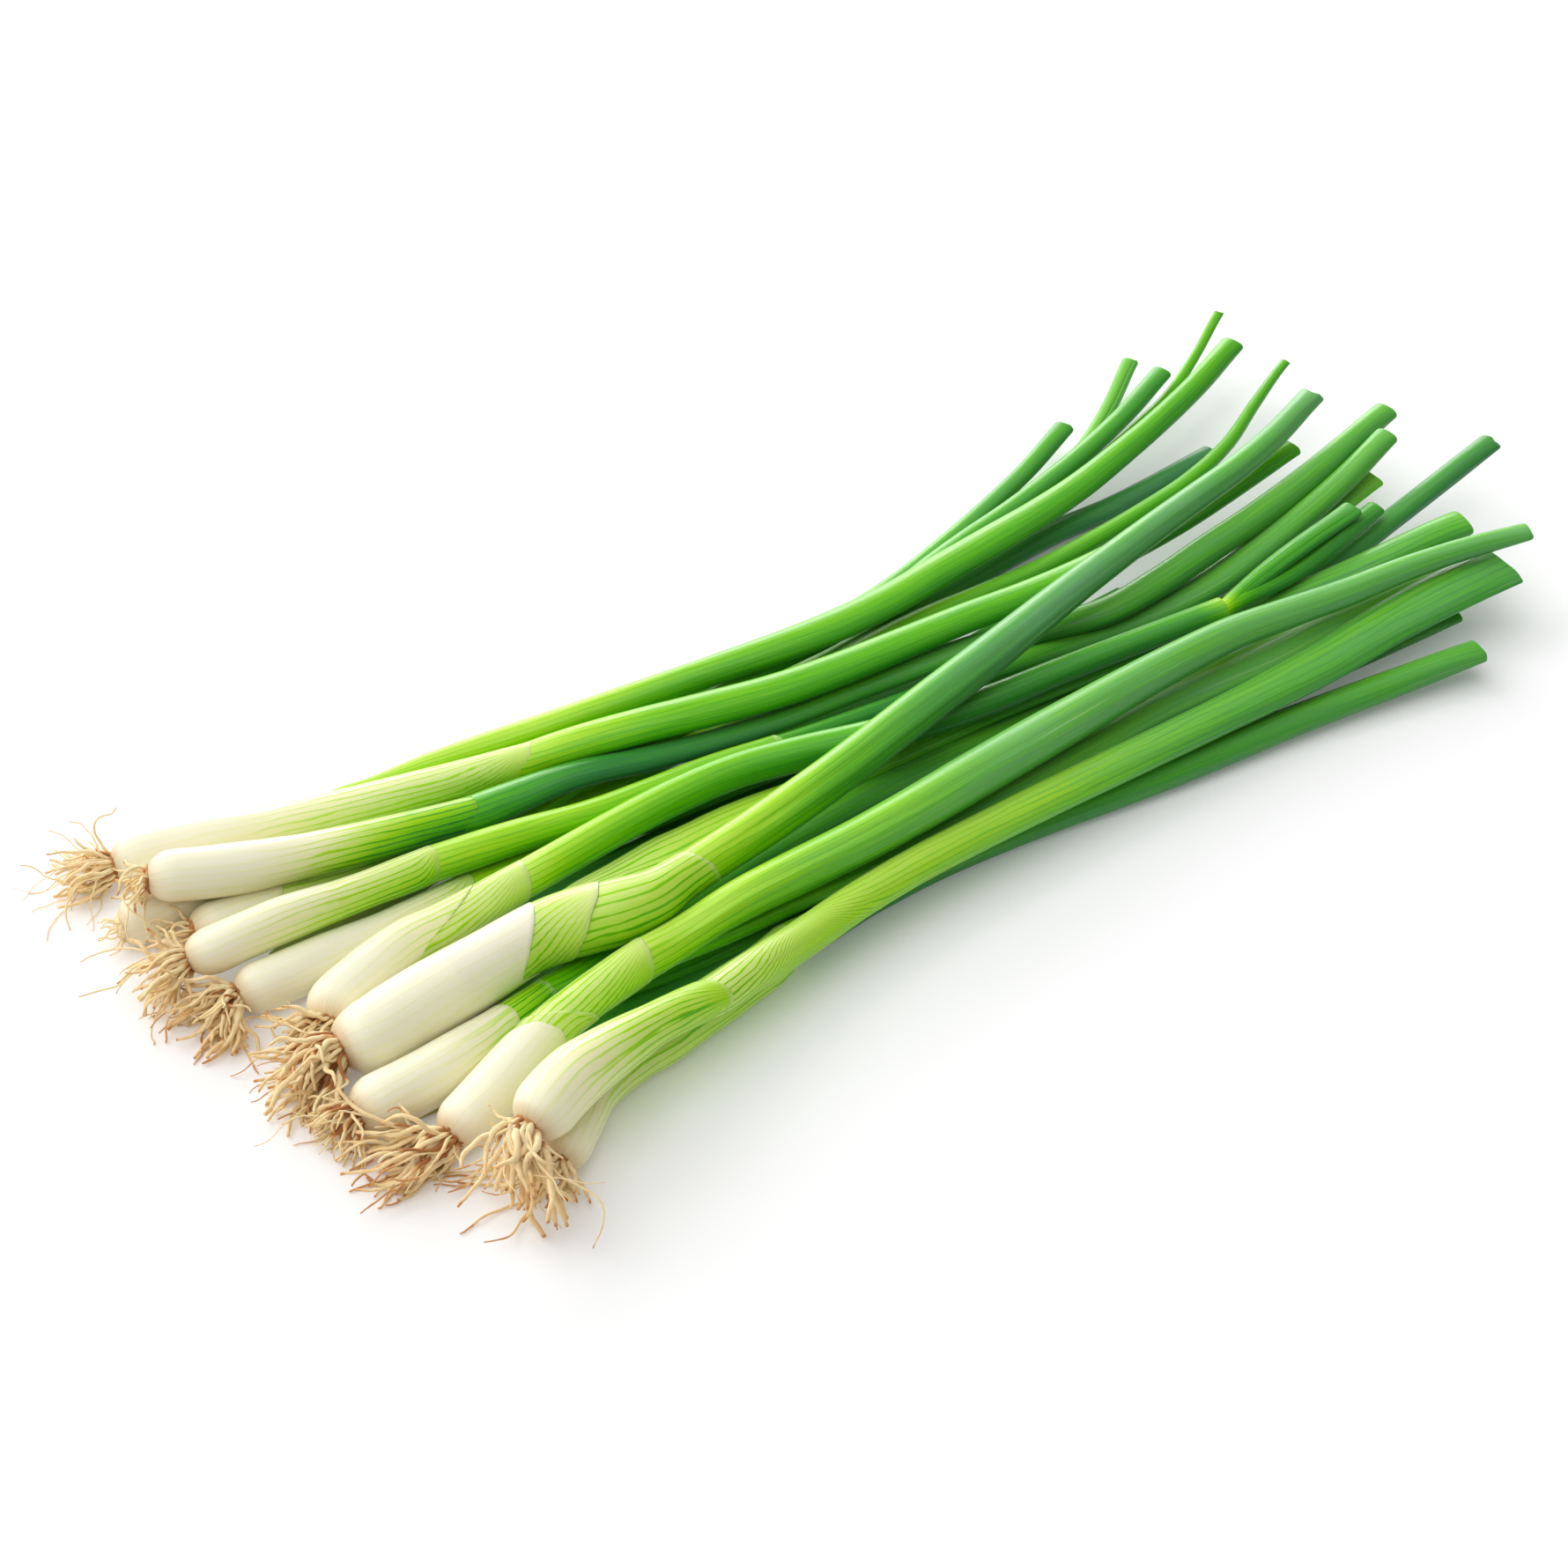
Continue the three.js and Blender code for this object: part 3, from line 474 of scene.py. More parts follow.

# Each leaf's tone by distance and its bloom of wax, which is partly painted sheen on the upper side, how
# its tip ends where that isn't a plain cut, how much wider and flatter than its CAD tube it is, how far
# it is shifted towards the back, how far its start is drawn out backwards, its girth's share of the
# sheath or leaf that it grows from, how strong its veins are, whether they crowd together past the
# collar like a fan's, how ragged a torn tip is, and its creases: side, turn in degrees per 100 mm, depth.
leafLooks = {
    "01_a": {"tones": [[0, 0.5], [14, 0.58], [30, 0.67], [60, 0.72], [120, 0.73], [222, 0.74]], "wax": 0.08,
             "wide": [[0, 1.08], [20, 1.25], [60, 1.25], [130, 1.2], [180, 1.3], [222, 1.1]],
             "shift": [[0, 0], [12, -1.0], [60, -1.0], [100, 0]]},
    "01_b": {"tones": [[-14, 0.25], [0, 0.5], [50, 0.5], [75, 0.6], [100, 0.69], [180, 0.73], [281, 0.75]],
             "wax": 0.1, "back": 14,
             "wide": [[0, 1], [90, 1.1], [125, 1.35], [180, 1.4], [240, 1.1], [281, 1]],
             "shift": [[-14, -5], [-7, -2.2], [0, 0], [90, 0], [125, -0.9], [185, -1.2], [230, 0]]},
    "01_c": {"tones": [[0, 0.68], [109, 0.72]], "wax": 0.1, "tip": "point"},
    "02_a": {"tones": [[0, 0.78], [16, 0.85], [34, 0.95], [60, 0.9], [90, 0.76], [270, 0.76]], "wax": 0.45,
             "shift": [[0, 0.4], [20, 0.9], [60, 0.9], [90, 0], [140, -1.2], [150, -2.8], [160, -3.2],
                       [171, -1.6], [180, 0.4], [198, -0.2], [222, -0.6], [240, 0]],
             "wide": [[0, 1.15], [60, 1.2], [90, 1.3], [130, 1.2], [170, 1.1], [270, 1]]},
    "02_b": {"tones": [[0, 0.6], [120, 0.76], [239, 0.8]], "wax": 0.25},
    "03_a": {"tones": [[0, 0.5], [80, 0.62], [130, 0.85], [222, 1.0]], "wax": 0.4,
             "shift": [[0, 0], [120, 0], [140, 0.4], [155, 1.1], [166, 1.7], [176, 1.0], [186, 0]]},
    "03_b": {"tones": [[0, 0.6], [199, 0.82]], "wax": 0.4},
    "04_a": {"tones": [[0, 0.6], [244, 0.72]], "wax": 0.4, "creases": [[110, 5, 0.12]]},
    "04_b": {"tones": [[0, 0.55], [100, 0.7], [266, 0.74]], "wax": 0.15, "tip": "point"},
    "05_a": {"tones": [[0, 0.5], [30, 0.58], [87, 0.68]], "wax": 0.15, "tip": "open", "ragged": 1.0},
    "05_b": {"tones": [[0, 0.8], [30, 0.92], [60, 0.8], [190, 0.74]], "wax": 0.5, "fill": 0.86,
             "wide": [[0, 1], [40, 1.1], [70, 1.35], [130, 1.35], [190, 1]]},
    "06_a": {"tones": [[0, 0.55], [60, 0.7], [180, 0.74], [261, 0.6]], "wax": 0.4,
             "wide": [[0, 1.2], [60, 1.4], [200, 1.4], [261, 1.1]]},
    "07_a": {"tones": [[0, 0.44], [10, 0.54], [50, 0.68], [120, 0.84], [178, 0.8], [187, 0.55]],
             "wax": 0.2, "tip": "joint"},
    "07_b": {"tones": [[0, 0.52], [2, 0.66], [6, 0.8], [49, 0.84]], "wax": 0.9, "fill": 0.75,
             "creases": [[120, 10, 0.12]]},
    "07_c": {"tones": [[0, 0.56], [3, 0.72], [8, 0.82], [57, 0.84]], "wax": 0.5, "fill": 0.7},
    "08_a": {"tones": [[0, 0.5], [18, 0.56], [40, 0.68], [90, 0.82], [226, 0.78]], "wax": 0.85,
             "ragged": 1.0, "creases": [[120, 14, 0.06], [170, -8, 0.04]]},
    "08_b": {"tones": [[-28, 0.2], [-12, 0.34], [0, 0.42], [60, 0.56], [110, 0.7], [180, 0.78], [248, 0.75]],
             "wax": 0.4, "lines": 2.5, "back": 28,
             "wide": [[-28, 1.7], [-12, 1.9], [0, 2.4], [6, 2.5], [17, 1.9], [30, 1.5], [70, 1.35],
                      [110, 1.25], [248, 1]],
             "shift": [[-28, -3], [-12, 0.8], [0, 1.6], [6, 1], [14, -0.8], [20, -1.8], [60, -1.8],
                       [110, 0]]},
    "09_a": {"tones": [[0, 0.7], [60, 0.76], [200, 0.84], [295, 0.9]], "wax": 0.3, "ragged": 1.0,
             "wide": [[0, 1.1], [40, 1.5], [140, 1.5], [220, 1.1], [295, 1]]},
    "09_b": {"tones": [[0, 0.75], [252, 0.8]], "wax": 0.1, "wide": [[0, 1.3], [252, 1.1]]},
    "10_a": {"tones": [[0, 0.45], [14, 0.5], [30, 0.56], [50, 0.63], [90, 0.7], [150, 0.74], [256, 0.76]],
             "wax": 0.85, "creases": [[150, 6, 0.06], [110, 12, 0.05]]},
    "10_b": {"tones": [[0, 0.6], [80, 0.7], [235, 0.74]], "wax": 0.55, "wide": [[0, 1.2], [235, 1.1]],
             "creases": [[120, 4, 0.06]]},
    "11_a": {"tones": [[0, 0.4], [25, 0.46], [60, 0.5], [85, 0.54], [120, 0.67], [150, 0.75], [239, 0.8]],
             "wax": 0.5, "creases": [[140, 10, 0.05]], "fan": 1, "lines": 2.2,
             "wide": [[0, 1], [150, 1], [200, 1.2], [239, 1.4]],
             "shift": [[0, 0], [150, 0], [195, 0.6], [215, 1.0], [239, 1.6]]},
    "12_a": {"tones": [[0, 0.6], [20, 0.8], [193, 0.78]], "wax": 0.35},
}


# Stalks

# lengths in millimetres, sides in degrees
stalkValues = {
    "sides": 48, "pitch": 1.5, "ripple": 0.006, "table": 0.15,  # how far above the table it stays
    "radius": 5.0, "veinRadius": 4.6,  # the girth that its noises and its veins are laid out on
    "foot": (0.5, 0.85, 0.97),  # share of the girth at the first rings
    "bulb": [0.3, 0.8, 1.5, 2.4, 3.5, 5], "bulbEnd": 6.5,  # where the next rings lie
    "overlap": 10,  # how far below the outer sheath's edge an inner one starts
    "sunk": 0.12, "sunkPast": 12, "sunkEase": 14,  # how deep in, to how far past that edge, easing out
    "rim": 0.4, "rimLong": 0.4, "wander": 0.5, "wanderScale": 2.2,  # how pale and how ragged the edge is
    "greenFrom": 0.06, "greenOver": 0.2,  # the tone at which green starts to show veins
    # a deeper tone on the lower side, painted shade
    "lowSide": 230, "shade": 0.03,  # the side with the deepest tone, and how much deeper
    "gathered": 0.22,  # how near together the veins come where they gather
}


# how far round from a line along the tube, in millimetres, with the veins drawn in towards that line
# where they gather
def gathered(turn, radius, ahead, gather):
    if not gather:
        return turn * radius
    share, least = np.sin(np.clip(ahead / gather, 0, 1) * math.pi / 2), stalkValues["gathered"]
    return turn * radius / (least + (1 - least) * share)


def sheathLooks(layer, values):
    apex, lowSide = math.radians(layer["apex"]), math.radians(values["lowSide"])
    end, gather, shade = layer["end"], layer.get("gather", 0), values["shade"]

    def looks(s, around, slide):
        tone = readKnots(layer["tones"], s)
        edge = end - layer["slant"] * (1 - np.cos(around - apex)) / 2
        green = np.clip((tone - values["greenFrom"]) / values["greenOver"], 0, 1)
        calm = np.clip((end + 1 - s) / (0.5 * gather + 0.01), 0.35, 1)
        onRim = np.clip(1 - (edge - s) / values["rimLong"], 0, 1) * (slide > 0.5)
        plateDirt = 0.8 * np.clip(1 - s / 5, 0, 1) ** 1.5  # over the first 5 mm
        # a warm earth tint on the underside near the bulb: painted warm shade
        paintedShadeUnder = 0.5 * np.clip(-np.sin(around) * 1.5 - 0.5, 0, 1) * np.clip(1.5 - s / 40, 0, 1)
        turn = np.abs(wrapped(around - apex))
        return {
            # the tone is deeper on the lower side: painted shade on the white parts, and on green parts
            # partly their own greening and partly painted shade
            "tone": tone + (shade + (layer["under"] - shade) * green) * np.cos(around - lowSide),
            "vein": gathered(turn, values["veinRadius"], end + 1 - s, gather),
            "lines": (0.3 + 0.7 * green) * calm, "wax": 0,
            "rim": layer.get("rim", values["rim"]) * onRim, "earth": plateDirt + paintedShadeUnder,
        }

    return looks


# Where a stalk's girth or place differs a little from its CAD tube's: distance, share of the girth,
# millimetres towards the back.
fitted = {
    1: [(0, 1, 0), (40, 1.02, 0), (60, 1.12, -0.5), (97, 1.12, -0.6)],
    2: [(0, 1, 0), (30, 1.03, 0.3), (75, 1.08, 0.6)],
    3: [(0, 1, 0), (15, 1.05, 0.4), (40, 1.15, 1), (89, 1.1, 0.8)],
    4: [(0, 1, 0.6), (13, 1.02, 1.6), (40, 1.05, 1.6), (70, 1, 0.3)],
    5: [(0, 0.88, -0.5), (10, 0.8, -1.2), (38, 0.82, -1.2), (60, 1, 0)],
    8: [(0, 1, 0), (34, 1, 0), (46, 1.08, 0.8), (56, 1.24, 0.9), (64, 1.34, -0.8), (72, 1.26, -1.4),
        (86, 1, 0)],
    11: [(0, 0.95, 0), (15, 0.92, 0.4), (25, 0.82, 0.7), (35, 0.75, 1.2), (45, 0.7, 1.4), (56, 0.92, 0.3)],
    12: [(0, 1.03, 0), (20, 1.03, 0), (30, 1.1, -2), (44, 1.3, -4.4), (60, 1.38, -4.6), (75, 1.38, -4),
         (84, 1.2, -1.6)],
}


# how far a sheath's edge lies below its highest point, round the tube
def sheathEdge(layer, seed):
    apex, slant, scale = math.radians(layer["apex"]), layer["slant"], stalkValues["wanderScale"]

    def recede(around):
        wander = [noise.noise(Vector((scale * math.cos(a), scale * math.sin(a), seed))) for a in around]
        back = slant * (1 - np.cos(around - apex)) / 2 + stalkValues["wander"] * np.array(wander)
        if "lobe" in layer:
            side, long, broad = layer["lobe"]
            back -= long * np.exp(-(wrapped(around - math.radians(side)) / math.radians(broad)) ** 2)
        return back

    return recede


# The rings of a sheath, up its outside, over its edge and some way down its inside. An inner sheath
# starts inside the one before it.
def sheathStations(layer, order, before):
    end, wall = layer["end"], tubeValues["wall"]
    if before:
        start = max(0, before["end"] - before["slant"] - stalkValues["overlap"])
        deep = stalkValues["sunk"] + stalkValues["sunk"] * order
        top = before["end"] + stalkValues["sunkPast"]
    else:
        start, deep, top = 0, 0, 0

    def sunk(s):
        return -deep * np.clip((top - s) / stalkValues["sunkEase"], 0, 1)

    count = int((end - start) / stalkValues["pitch"])
    stations = [(start, 0, 0, 0)]
    if before:
        along = list(np.linspace(start, end, count))
    else:
        stations += [(0.0, 0, share, 0) for share in stalkValues["foot"]]
        along = stalkValues["bulb"] + list(np.linspace(stalkValues["bulbEnd"], end, count))
    for s in along:
        slide = float(np.clip((s - start) / (end - start), 0, 1)) ** 2
        stations.append((s, sunk(s), 1, slide))
    return stations + [
        (end + 0.12, sunk(end) - 0.4 * wall, 1, 1), (end, sunk(end) - wall, 1, 1),
        (end - 4, sunk(end) - 1.3 * wall, 1, 1), (end - 9, sunk(end) - 2 * wall, 0.9, 0.5),
        (end - 9.5, 0, 0, 0.5),
    ]


def makeStalk(number):
    name = f"onion_{number:02d}_stalk"
    route = makeRoute(readRings(name))
    if number in fitted:
        known, girth, shift = zip(*fitted[number])
        girth = np.interp(route.distance, known, girth)[:, None]
        knots = moved(route, girth, np.interp(route.distance, known, shift)).knots
        knots[:, 2] = np.maximum(knots[:, 2], knots[:, 4] + stalkValues["table"])  # not into the table
        route = Route(route.distance, knots)
    layers, before = [], None
    for order, layer in enumerate(stalkLooks[number]):
        shape = {
            "recede": sheathEdge(layer, random.Random(number * 7 + order).uniform(0, 50)),
            "seed": number + 0.3 * order, "radius": stalkValues["radius"],
            "looks": sheathLooks(layer, stalkValues), "ripple": rippleMaker(number, stalkValues["ripple"]),
        }
        stations = sheathStations(layer, order, before)
        layers.append(bentTube(f"{name}_{order}", route, stations, stalkValues["sides"], shape))
        before = layer
    piece = joined(layers, f"spring_{name}")
    piece.data.materials.append(stalkSkin)
    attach(piece, "root")
    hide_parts(name)
    return route


def joined(objects, name):
    bpy.ops.object.select_all(action="DESELECT")
    for item in objects:
        item.select_set(True)
    bpy.context.view_layer.objects.active = objects[0]
    if len(objects) > 1:
        bpy.ops.object.join()
    objects[0].name = name
    objects[0].data.name = name
    return objects[0]


# Leaves

# lengths in millimetres, sides in degrees
leafValues = {
    "sides": 48, "pitch": 2.2, "ripple": 0.025, "calm": 2,  # where its ripples start
    "radius": 4.0, "veinRadius": 4.4,  # the girth that its noises and its veins are laid out on
    "footNear": 5.5, "parentLong": 20,  # it grows from a tube that ends this near and is this long
    # the bloom of wax peaks on the upper side, where it is partly painted sheen
    # the deeper tone low down is painted shade
    "veinSide": 30, "waxSide": 95, "lowSide": 235, "shade": 0.1,  # the last is the deeper tone low down
    "veinsAlong": [[0, 0.4], [30, 0.22], [60, 0.14]], "veinsByTone": [[0.4, 1.6], [0.6, 1]],
    "waxAlong": [[0, 0], [40, 0.2], [110, 1]],
    "fanAt": 26, "fanLong": 14, "fan": 0.7,  # where a fan's veins crowd together, and how much
    "rim": 0.25, "rimLong": 0.4, "ragged": 0.15, "slant": 0.4,  # the tip's edge
    "tipLong": 16, "corner": 1.4, "spread": 0.06, "flat": 0.45,  # how a cut tip closes
    "pointFlat": 0.3, "pointLeast": (1.3, 0.8),  # how a pointed one does, to which half width and height
    "tipRings": (12, 10, 8, 6, 4.5, 3, 2, 1.4, 0.9, 0.5, 0.2), "tipRingsLong": 14,
    "openMore": 2.2,  # how much farther than its CAD tube an open tip reaches
}


def leafPattern(looks, length, values):
    veinSide, waxSide, lowSide = (math.radians(values[side]) for side in ("veinSide", "waxSide", "lowSide"))

    def pattern(s, around, slide):
        tone = readKnots(looks["tones"], s)
        fan = values["fan"] * looks.get("fan", 0) * np.exp(-((s - values["fanAt"]) / values["fanLong"]) ** 2)
        veins = looks.get("lines", 1) * readKnots(values["veinsAlong"], s)
        wax = looks["wax"] * readKnots(values["waxAlong"], s)
        return {
            # painted shade: a deeper tone on the lower side
            "tone": tone + 0.03 + values["shade"] * np.cos(around - lowSide),
            "vein": np.abs(wrapped(around - veinSide)) * values["veinRadius"] / (1 - fan),
            "lines": veins * readKnots(values["veinsByTone"], tone),
            # wax bloom, strongest on the upper side: partly real wax, partly painted sheen
            "wax": wax * (0.5 + 0.5 * np.cos(around - waxSide)),
            "rim": values["rim"] * np.clip(1 - (length - 0.1 - s) / values["rimLong"], 0, 1),
            "earth": 0,
        }

    return pattern


def leafSection(looks, length, values):
    tip, wide = looks.get("tip", "cut"), looks.get("wide", [[0, 1]])

    def pinch(s, across, high):
        spread = readKnots(wide, s)
        across, high = across * spread, high / np.sqrt(spread)
        close = np.clip((s - length + values["tipLong"]) / values["tipLong"], 0, 1) ** 2
        if tip == "point":
            broad, tall = values["pointLeast"]
            high = np.maximum(high * (1 - values["pointFlat"] * close), tall * (high > 0.2))
            return np.maximum(across, broad * (across > 0.3)), high
        if tip == "cut":
            corner = 1 - np.clip(1 - (length - s) / values["corner"], 0, 1) ** 2
            across = across * (1 + values["spread"] * close) * np.sqrt(np.clip(corner, 0.3, 1))
            return across, high * (1 - values["flat"] * close)
        return across, high

    return pinch


def leafShape(key, route, values):
    looks, length = leafLooks[key], route.length
    seed = int(key[:2]) + 20 + 5 * "abc".index(key[3])
    cut = random.Random(seed).uniform(-0.5, 0.5)
    ragged = looks.get("ragged", values["ragged"])

    def recede(around):
        slanted = values["slant"] * (1 + np.cos(around - 1.5 - cut))
        return slanted + ragged * (0.5 + 0.5 * np.sin(3 * around + 9 * cut))

    return {
        "looks": leafPattern(looks, length, values), "pinch": leafSection(looks, length, values),
        "recede": recede, "seed": seed, "radius": values["radius"], "calm": values["calm"],
        "ripple": rippleMaker(seed, values["ripple"], looks.get("creases", [])),
    }


# The rings of a leaf from its start to its tip. At an open tip they turn over the edge and go back down
# the inside, and any other tip is closed.
def leafStations(first, last, isOpen):
    wall, mouth, long = tubeValues["wall"], tubeValues["mouth"], leafValues["tipRingsLong"]
    count = int((last - first) / leafValues["pitch"])
    stations = [(first, 0, 0, 0)] + [(s, 0, 1, 0) for s in np.linspace(first, last - long, count)]
    stations += [(last - back, 0, 1, 1 - back / long) for back in leafValues["tipRings"]]
    if isOpen:
        stations += [
            (last, -0.1 * wall, 1, 1), (last + 0.05, -0.6 * wall, 1, 1), (last - 0.1, -1.6 * wall, 1, 1),
        ]
        stations += [(last - d, -1.9 * wall, 1 - d / 40, 1 - d / long) for d in (1, 3, 6, mouth)]
        return stations + [(last - mouth - 1, 0, 0, 0.3)]
    return stations + [
        (last, 0, 0.98, 1), (last + 0.1, 0, 0.9, 1), (last + 0.05, 0, 0.6, 1), (last - 0.15, 0, 0.3, 1),
        (last - 0.25, 0, 0, 1),
    ]


def makeLeaf(key, grown):
    name = f"onion_{key[:2]}_leaf_{key[3]}"
    route, looks = makeRoute(readRings(name)), leafLooks[key]
    start = route.knots[0][:3]
    parents = [
        tube for tube in grown.values()
        if np.linalg.norm(tube.knots[-1][:3] - start) < leafValues["footNear"]
        and tube.length > leafValues["parentLong"]
    ]
    shape = leafShape(key, route, leafValues)
    if "back" in looks:
        route = reachedBack(route, looks["back"])
    if "shift" in looks:
        route = moved(route, 1, readKnots(looks["shift"], route.distance))
    if parents:
        near = stalkLooks[int(key[:2])][-1]["slant"] + 2
        fill = looks.get("fill", 0.98 if key[3] == "a" else 0.8)
        route = withLead(route, parents[-1], near, fill)
    isOpen = looks.get("tip") == "open"
    last = route.length + (leafValues["openMore"] if isOpen else 0)
    stations = leafStations(route.distance[0], last, isOpen)
    piece = bentTube(f"spring_{name}", route, stations, leafValues["sides"], shape)
    piece.data.materials.append(leafSkin)
    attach(piece, "root")
    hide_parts(name)
    return route


onionRoutes = {}
for number in stalkLooks:
    grown = {"stalk": makeStalk(number)}
    for key in [k for k in leafLooks if int(k[:2]) == number]:
        grown[key[3]] = makeLeaf(key, grown)
    onionRoutes[number] = grown
print("stalks and leaves made:", len(stalkLooks), "and", len(leafLooks))

# Dark leaves under the pile, painted shade for the gaps

# The photograph shows green in the gaps between the leaves: these lie flat on the table below them.
# They are painted shade for those gaps, dark green, and warm brown between the bulbs. Each is a row of
# points on the table, in millimetres, with its half width and how much warm brown shade it has.
shadeLeafValues = {
    # a dark tone, standing for the shade in the gaps
    "high": 0.9, "tone": 0.82, "wax": 0.2, "lines": 0.2, "ripple": 0.04, "radius": 4.0,
    "sides": 24, "rings": 70, "inset": 0.3, "seed": 60, "narrow": 0.3, "gap": 0.1,
    "rows": [
        (4.5, 0, [(-105, 10), (-60, 14), (-20, 16), (20, 16), (60, 20), (95, 30)]),
        (5.0, 0, [(-110, -12), (-70, -8), (-30, -6), (10, -4), (50, 0), (90, 8)]),
        (5.0, 0, [(-80, -28), (-40, -24), (0, -20), (40, -14), (80, -8), (110, -2)]),
        (4.5, 0, [(0, 4), (30, 6), (60, 10), (88, 15)]),
        (6.0, 0, [(-114, -20), (-95, -20), (-70, -17), (-45, -13)]),
        (4.0, 0, [(-112, 3), (-90, 4), (-60, 4), (-30, 6), (0, 10)]),
        (5.0, 0.5, [(-147, 22), (-130, 23), (-100, 24)]),
        (4.0, 0.8, [(-142, -16), (-126, -17), (-110, -18)]),
        (3.5, 0.8, [(-149, -37), (-136, -35), (-123, -31)]),
        (5.0, 0, [(-112, -33), (-98, -35), (-80, -34), (-60, -32), (-40, -27), (-10, -18)]),
    ],
}


def makeShadeLeaf(order, half, warmShade, row):
    high, narrow, inset = (shadeLeafValues[label] for label in ("high", "narrow", "inset"))
    seed = shadeLeafValues["seed"] + order
    points = np.array([[x, y, high + shadeLeafValues["gap"]] for x, y in row], float)
    distance = np.concatenate([[0], np.cumsum(np.linalg.norm(np.diff(points, axis=0), axis=1))])
    ends = np.array([narrow] + [1] * (len(row) - 2) + [narrow])[:, None]
    route = Route(distance, np.hstack([points, half * ends, high * ends]))

    def pattern(s, around, slide):
        return {
            "tone": shadeLeafValues["tone"], "lines": shadeLeafValues["lines"], "wax": shadeLeafValues["wax"],
            "vein": np.abs(wrapped(around)) * half, "rim": 0, "earth": warmShade,
        }

    shape = {
        "looks": pattern, "seed": seed, "ripple": rippleMaker(seed, shadeLeafValues["ripple"]),
        "radius": shadeLeafValues["radius"],
    }
    along = np.linspace(inset, route.length - inset, shadeLeafValues["rings"])
    stations = [(0, 0, 0, 0)] + [(s, 0, 1, 0) for s in along] + [(route.length, 0, 0, 0)]
    piece = bentTube(f"spring_shade_leaf_{order}", route, stations, shadeLeafValues["sides"], shape)
    piece.data.materials.append(leafSkin)
    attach(piece, "root")


for order, (half, warmShade, row) in enumerate(shadeLeafValues["rows"], 1):
    makeShadeLeaf(order, half, warmShade, row)
print("leaves under the pile made")

# Roots

# lengths in millimetres
rootValues = {
    "steps": 20, "sides": 7, "wander": 0.7, "ease": 0.6, "pull": 0.22, "sag": 0.1, "gap": 0.1,
    "ceiling": 20,  # above this height a root rises no more
    "stiff": 4,  # over so many steps it starts to bend
    "broad": 1.15, "high": 0.85, "knobs": 0.22, "knobScale": 0.9,  # its section, and how knobbly it is
    "tip": (0.2, 0.5),  # the share of its thickness that is left at its tip
    "inset": 0.4, "spread": 0.62,  # how deep in the bulb it starts, and how far over its half width
    "goldenTurn": 2.39996,  # radians from one root's place on the plate to the next one's
    "plateSize": 0.7, "plateHigh": 0.3, "plateLumps": 0.3, "plateTone": 0.02, "plateTones": {3: 0.14},
    "colours": [
        (0.0, colour(172, 112, 56)), (0.06, colour(216, 162, 98)), (0.14, colour(253, 229, 180)),
        (0.80, colour(250, 222, 168)), (0.96, colour(240, 202, 144)), (1.0, colour(206, 150, 92)),
    ],
    "speck": colour(184, 134, 84), "grain": (900.0, 3.0), "patch": (220.0, 2.0),  # scale and detail
}

# Each tuft's groups of roots: the way they run over the table, in degrees from the bunch's length, how
# far they fan to each side of it, their reach in millimetres, their number, their half thickness, how
# much they rise and how brown they are. A negative last value makes dark roots among the others:
# painted shade for the tuft's crevices.
tuftLooks = {
    1: [(158, 60, 16, 30, 0.68, 0.1, 0), (150, 55, 25, 8, 0.24, 0.2, 0), (95, 25, 17, 4, 0.3, 0.8, 0),
        (214, 12, 19, 4, 0.24, 0, 0), (238, 4, 32, 2, 0.26, 0, 0), (165, 70, 9, 12, 0.5, 0.1, -0.4)],
    2: [(170, 45, 9, 16, 0.5, 0, 0.08), (225, 25, 11, 4, 0.34, 0, 0), (262, 8, 22, 3, 0.26, 0, 0)],
    3: [(160, 35, 5, 8, 0.3, 0, 0.05)],
    4: [(140, 50, 9, 18, 0.46, 0.35, 0)],
    5: [(164, 60, 17, 34, 0.68, 0.12, 0), (172, 45, 26, 7, 0.32, 0, 0), (112, 22, 11, 6, 0.48, 0.7, 0),
        (170, 60, 10, 12, 0.5, 0, -0.4)],
    6: [(206, 70, 18, 44, 0.68, 0.05, 0.02), (200, 60, 22, 16, 0.36, 0, 0.2),
        (206, 70, 14, 22, 0.5, 0, -0.5)],
    7: [(146, 46, 14, 26, 0.62, 0.15, 0.03), (150, 40, 18, 5, 0.28, 0.1, 0),
        (150, 50, 9, 10, 0.45, 0.1, -0.4)],
    8: [(202, 28, 24, 42, 0.74, 0, 0), (198, 42, 26, 14, 0.34, 0, 0.25), (202, 36, 19, 26, 0.5, 0, -0.5)],
    9: [(190, 60, 12, 34, 0.38, 0, 0), (172, 12, 28, 3, 0.2, 0, 0), (190, 60, 12, 20, 0.4, 0, -0.5)],
    10: [(156, 12, 27, 34, 0.7, 0, 0.02), (166, 20, 27, 18, 0.4, 0, 0.25), (262, 30, 12, 4, 0.24, 0, 0),
         (160, 18, 22, 24, 0.5, 0, -0.6)],
    11: [(242, 14, 21.5, 30, 0.78, 0, 0), (245, 18, 34, 7, 0.24, 0, 0), (140, 40, 9, 9, 0.32, 0.4, 0),
         (240, 20, 14, 14, 0.5, 0, -0.4)],
    12: [(150, 8, 30, 14, 0.4, 0, 0.2), (228, 40, 12, 24, 0.5, 0, 0.06)],
}


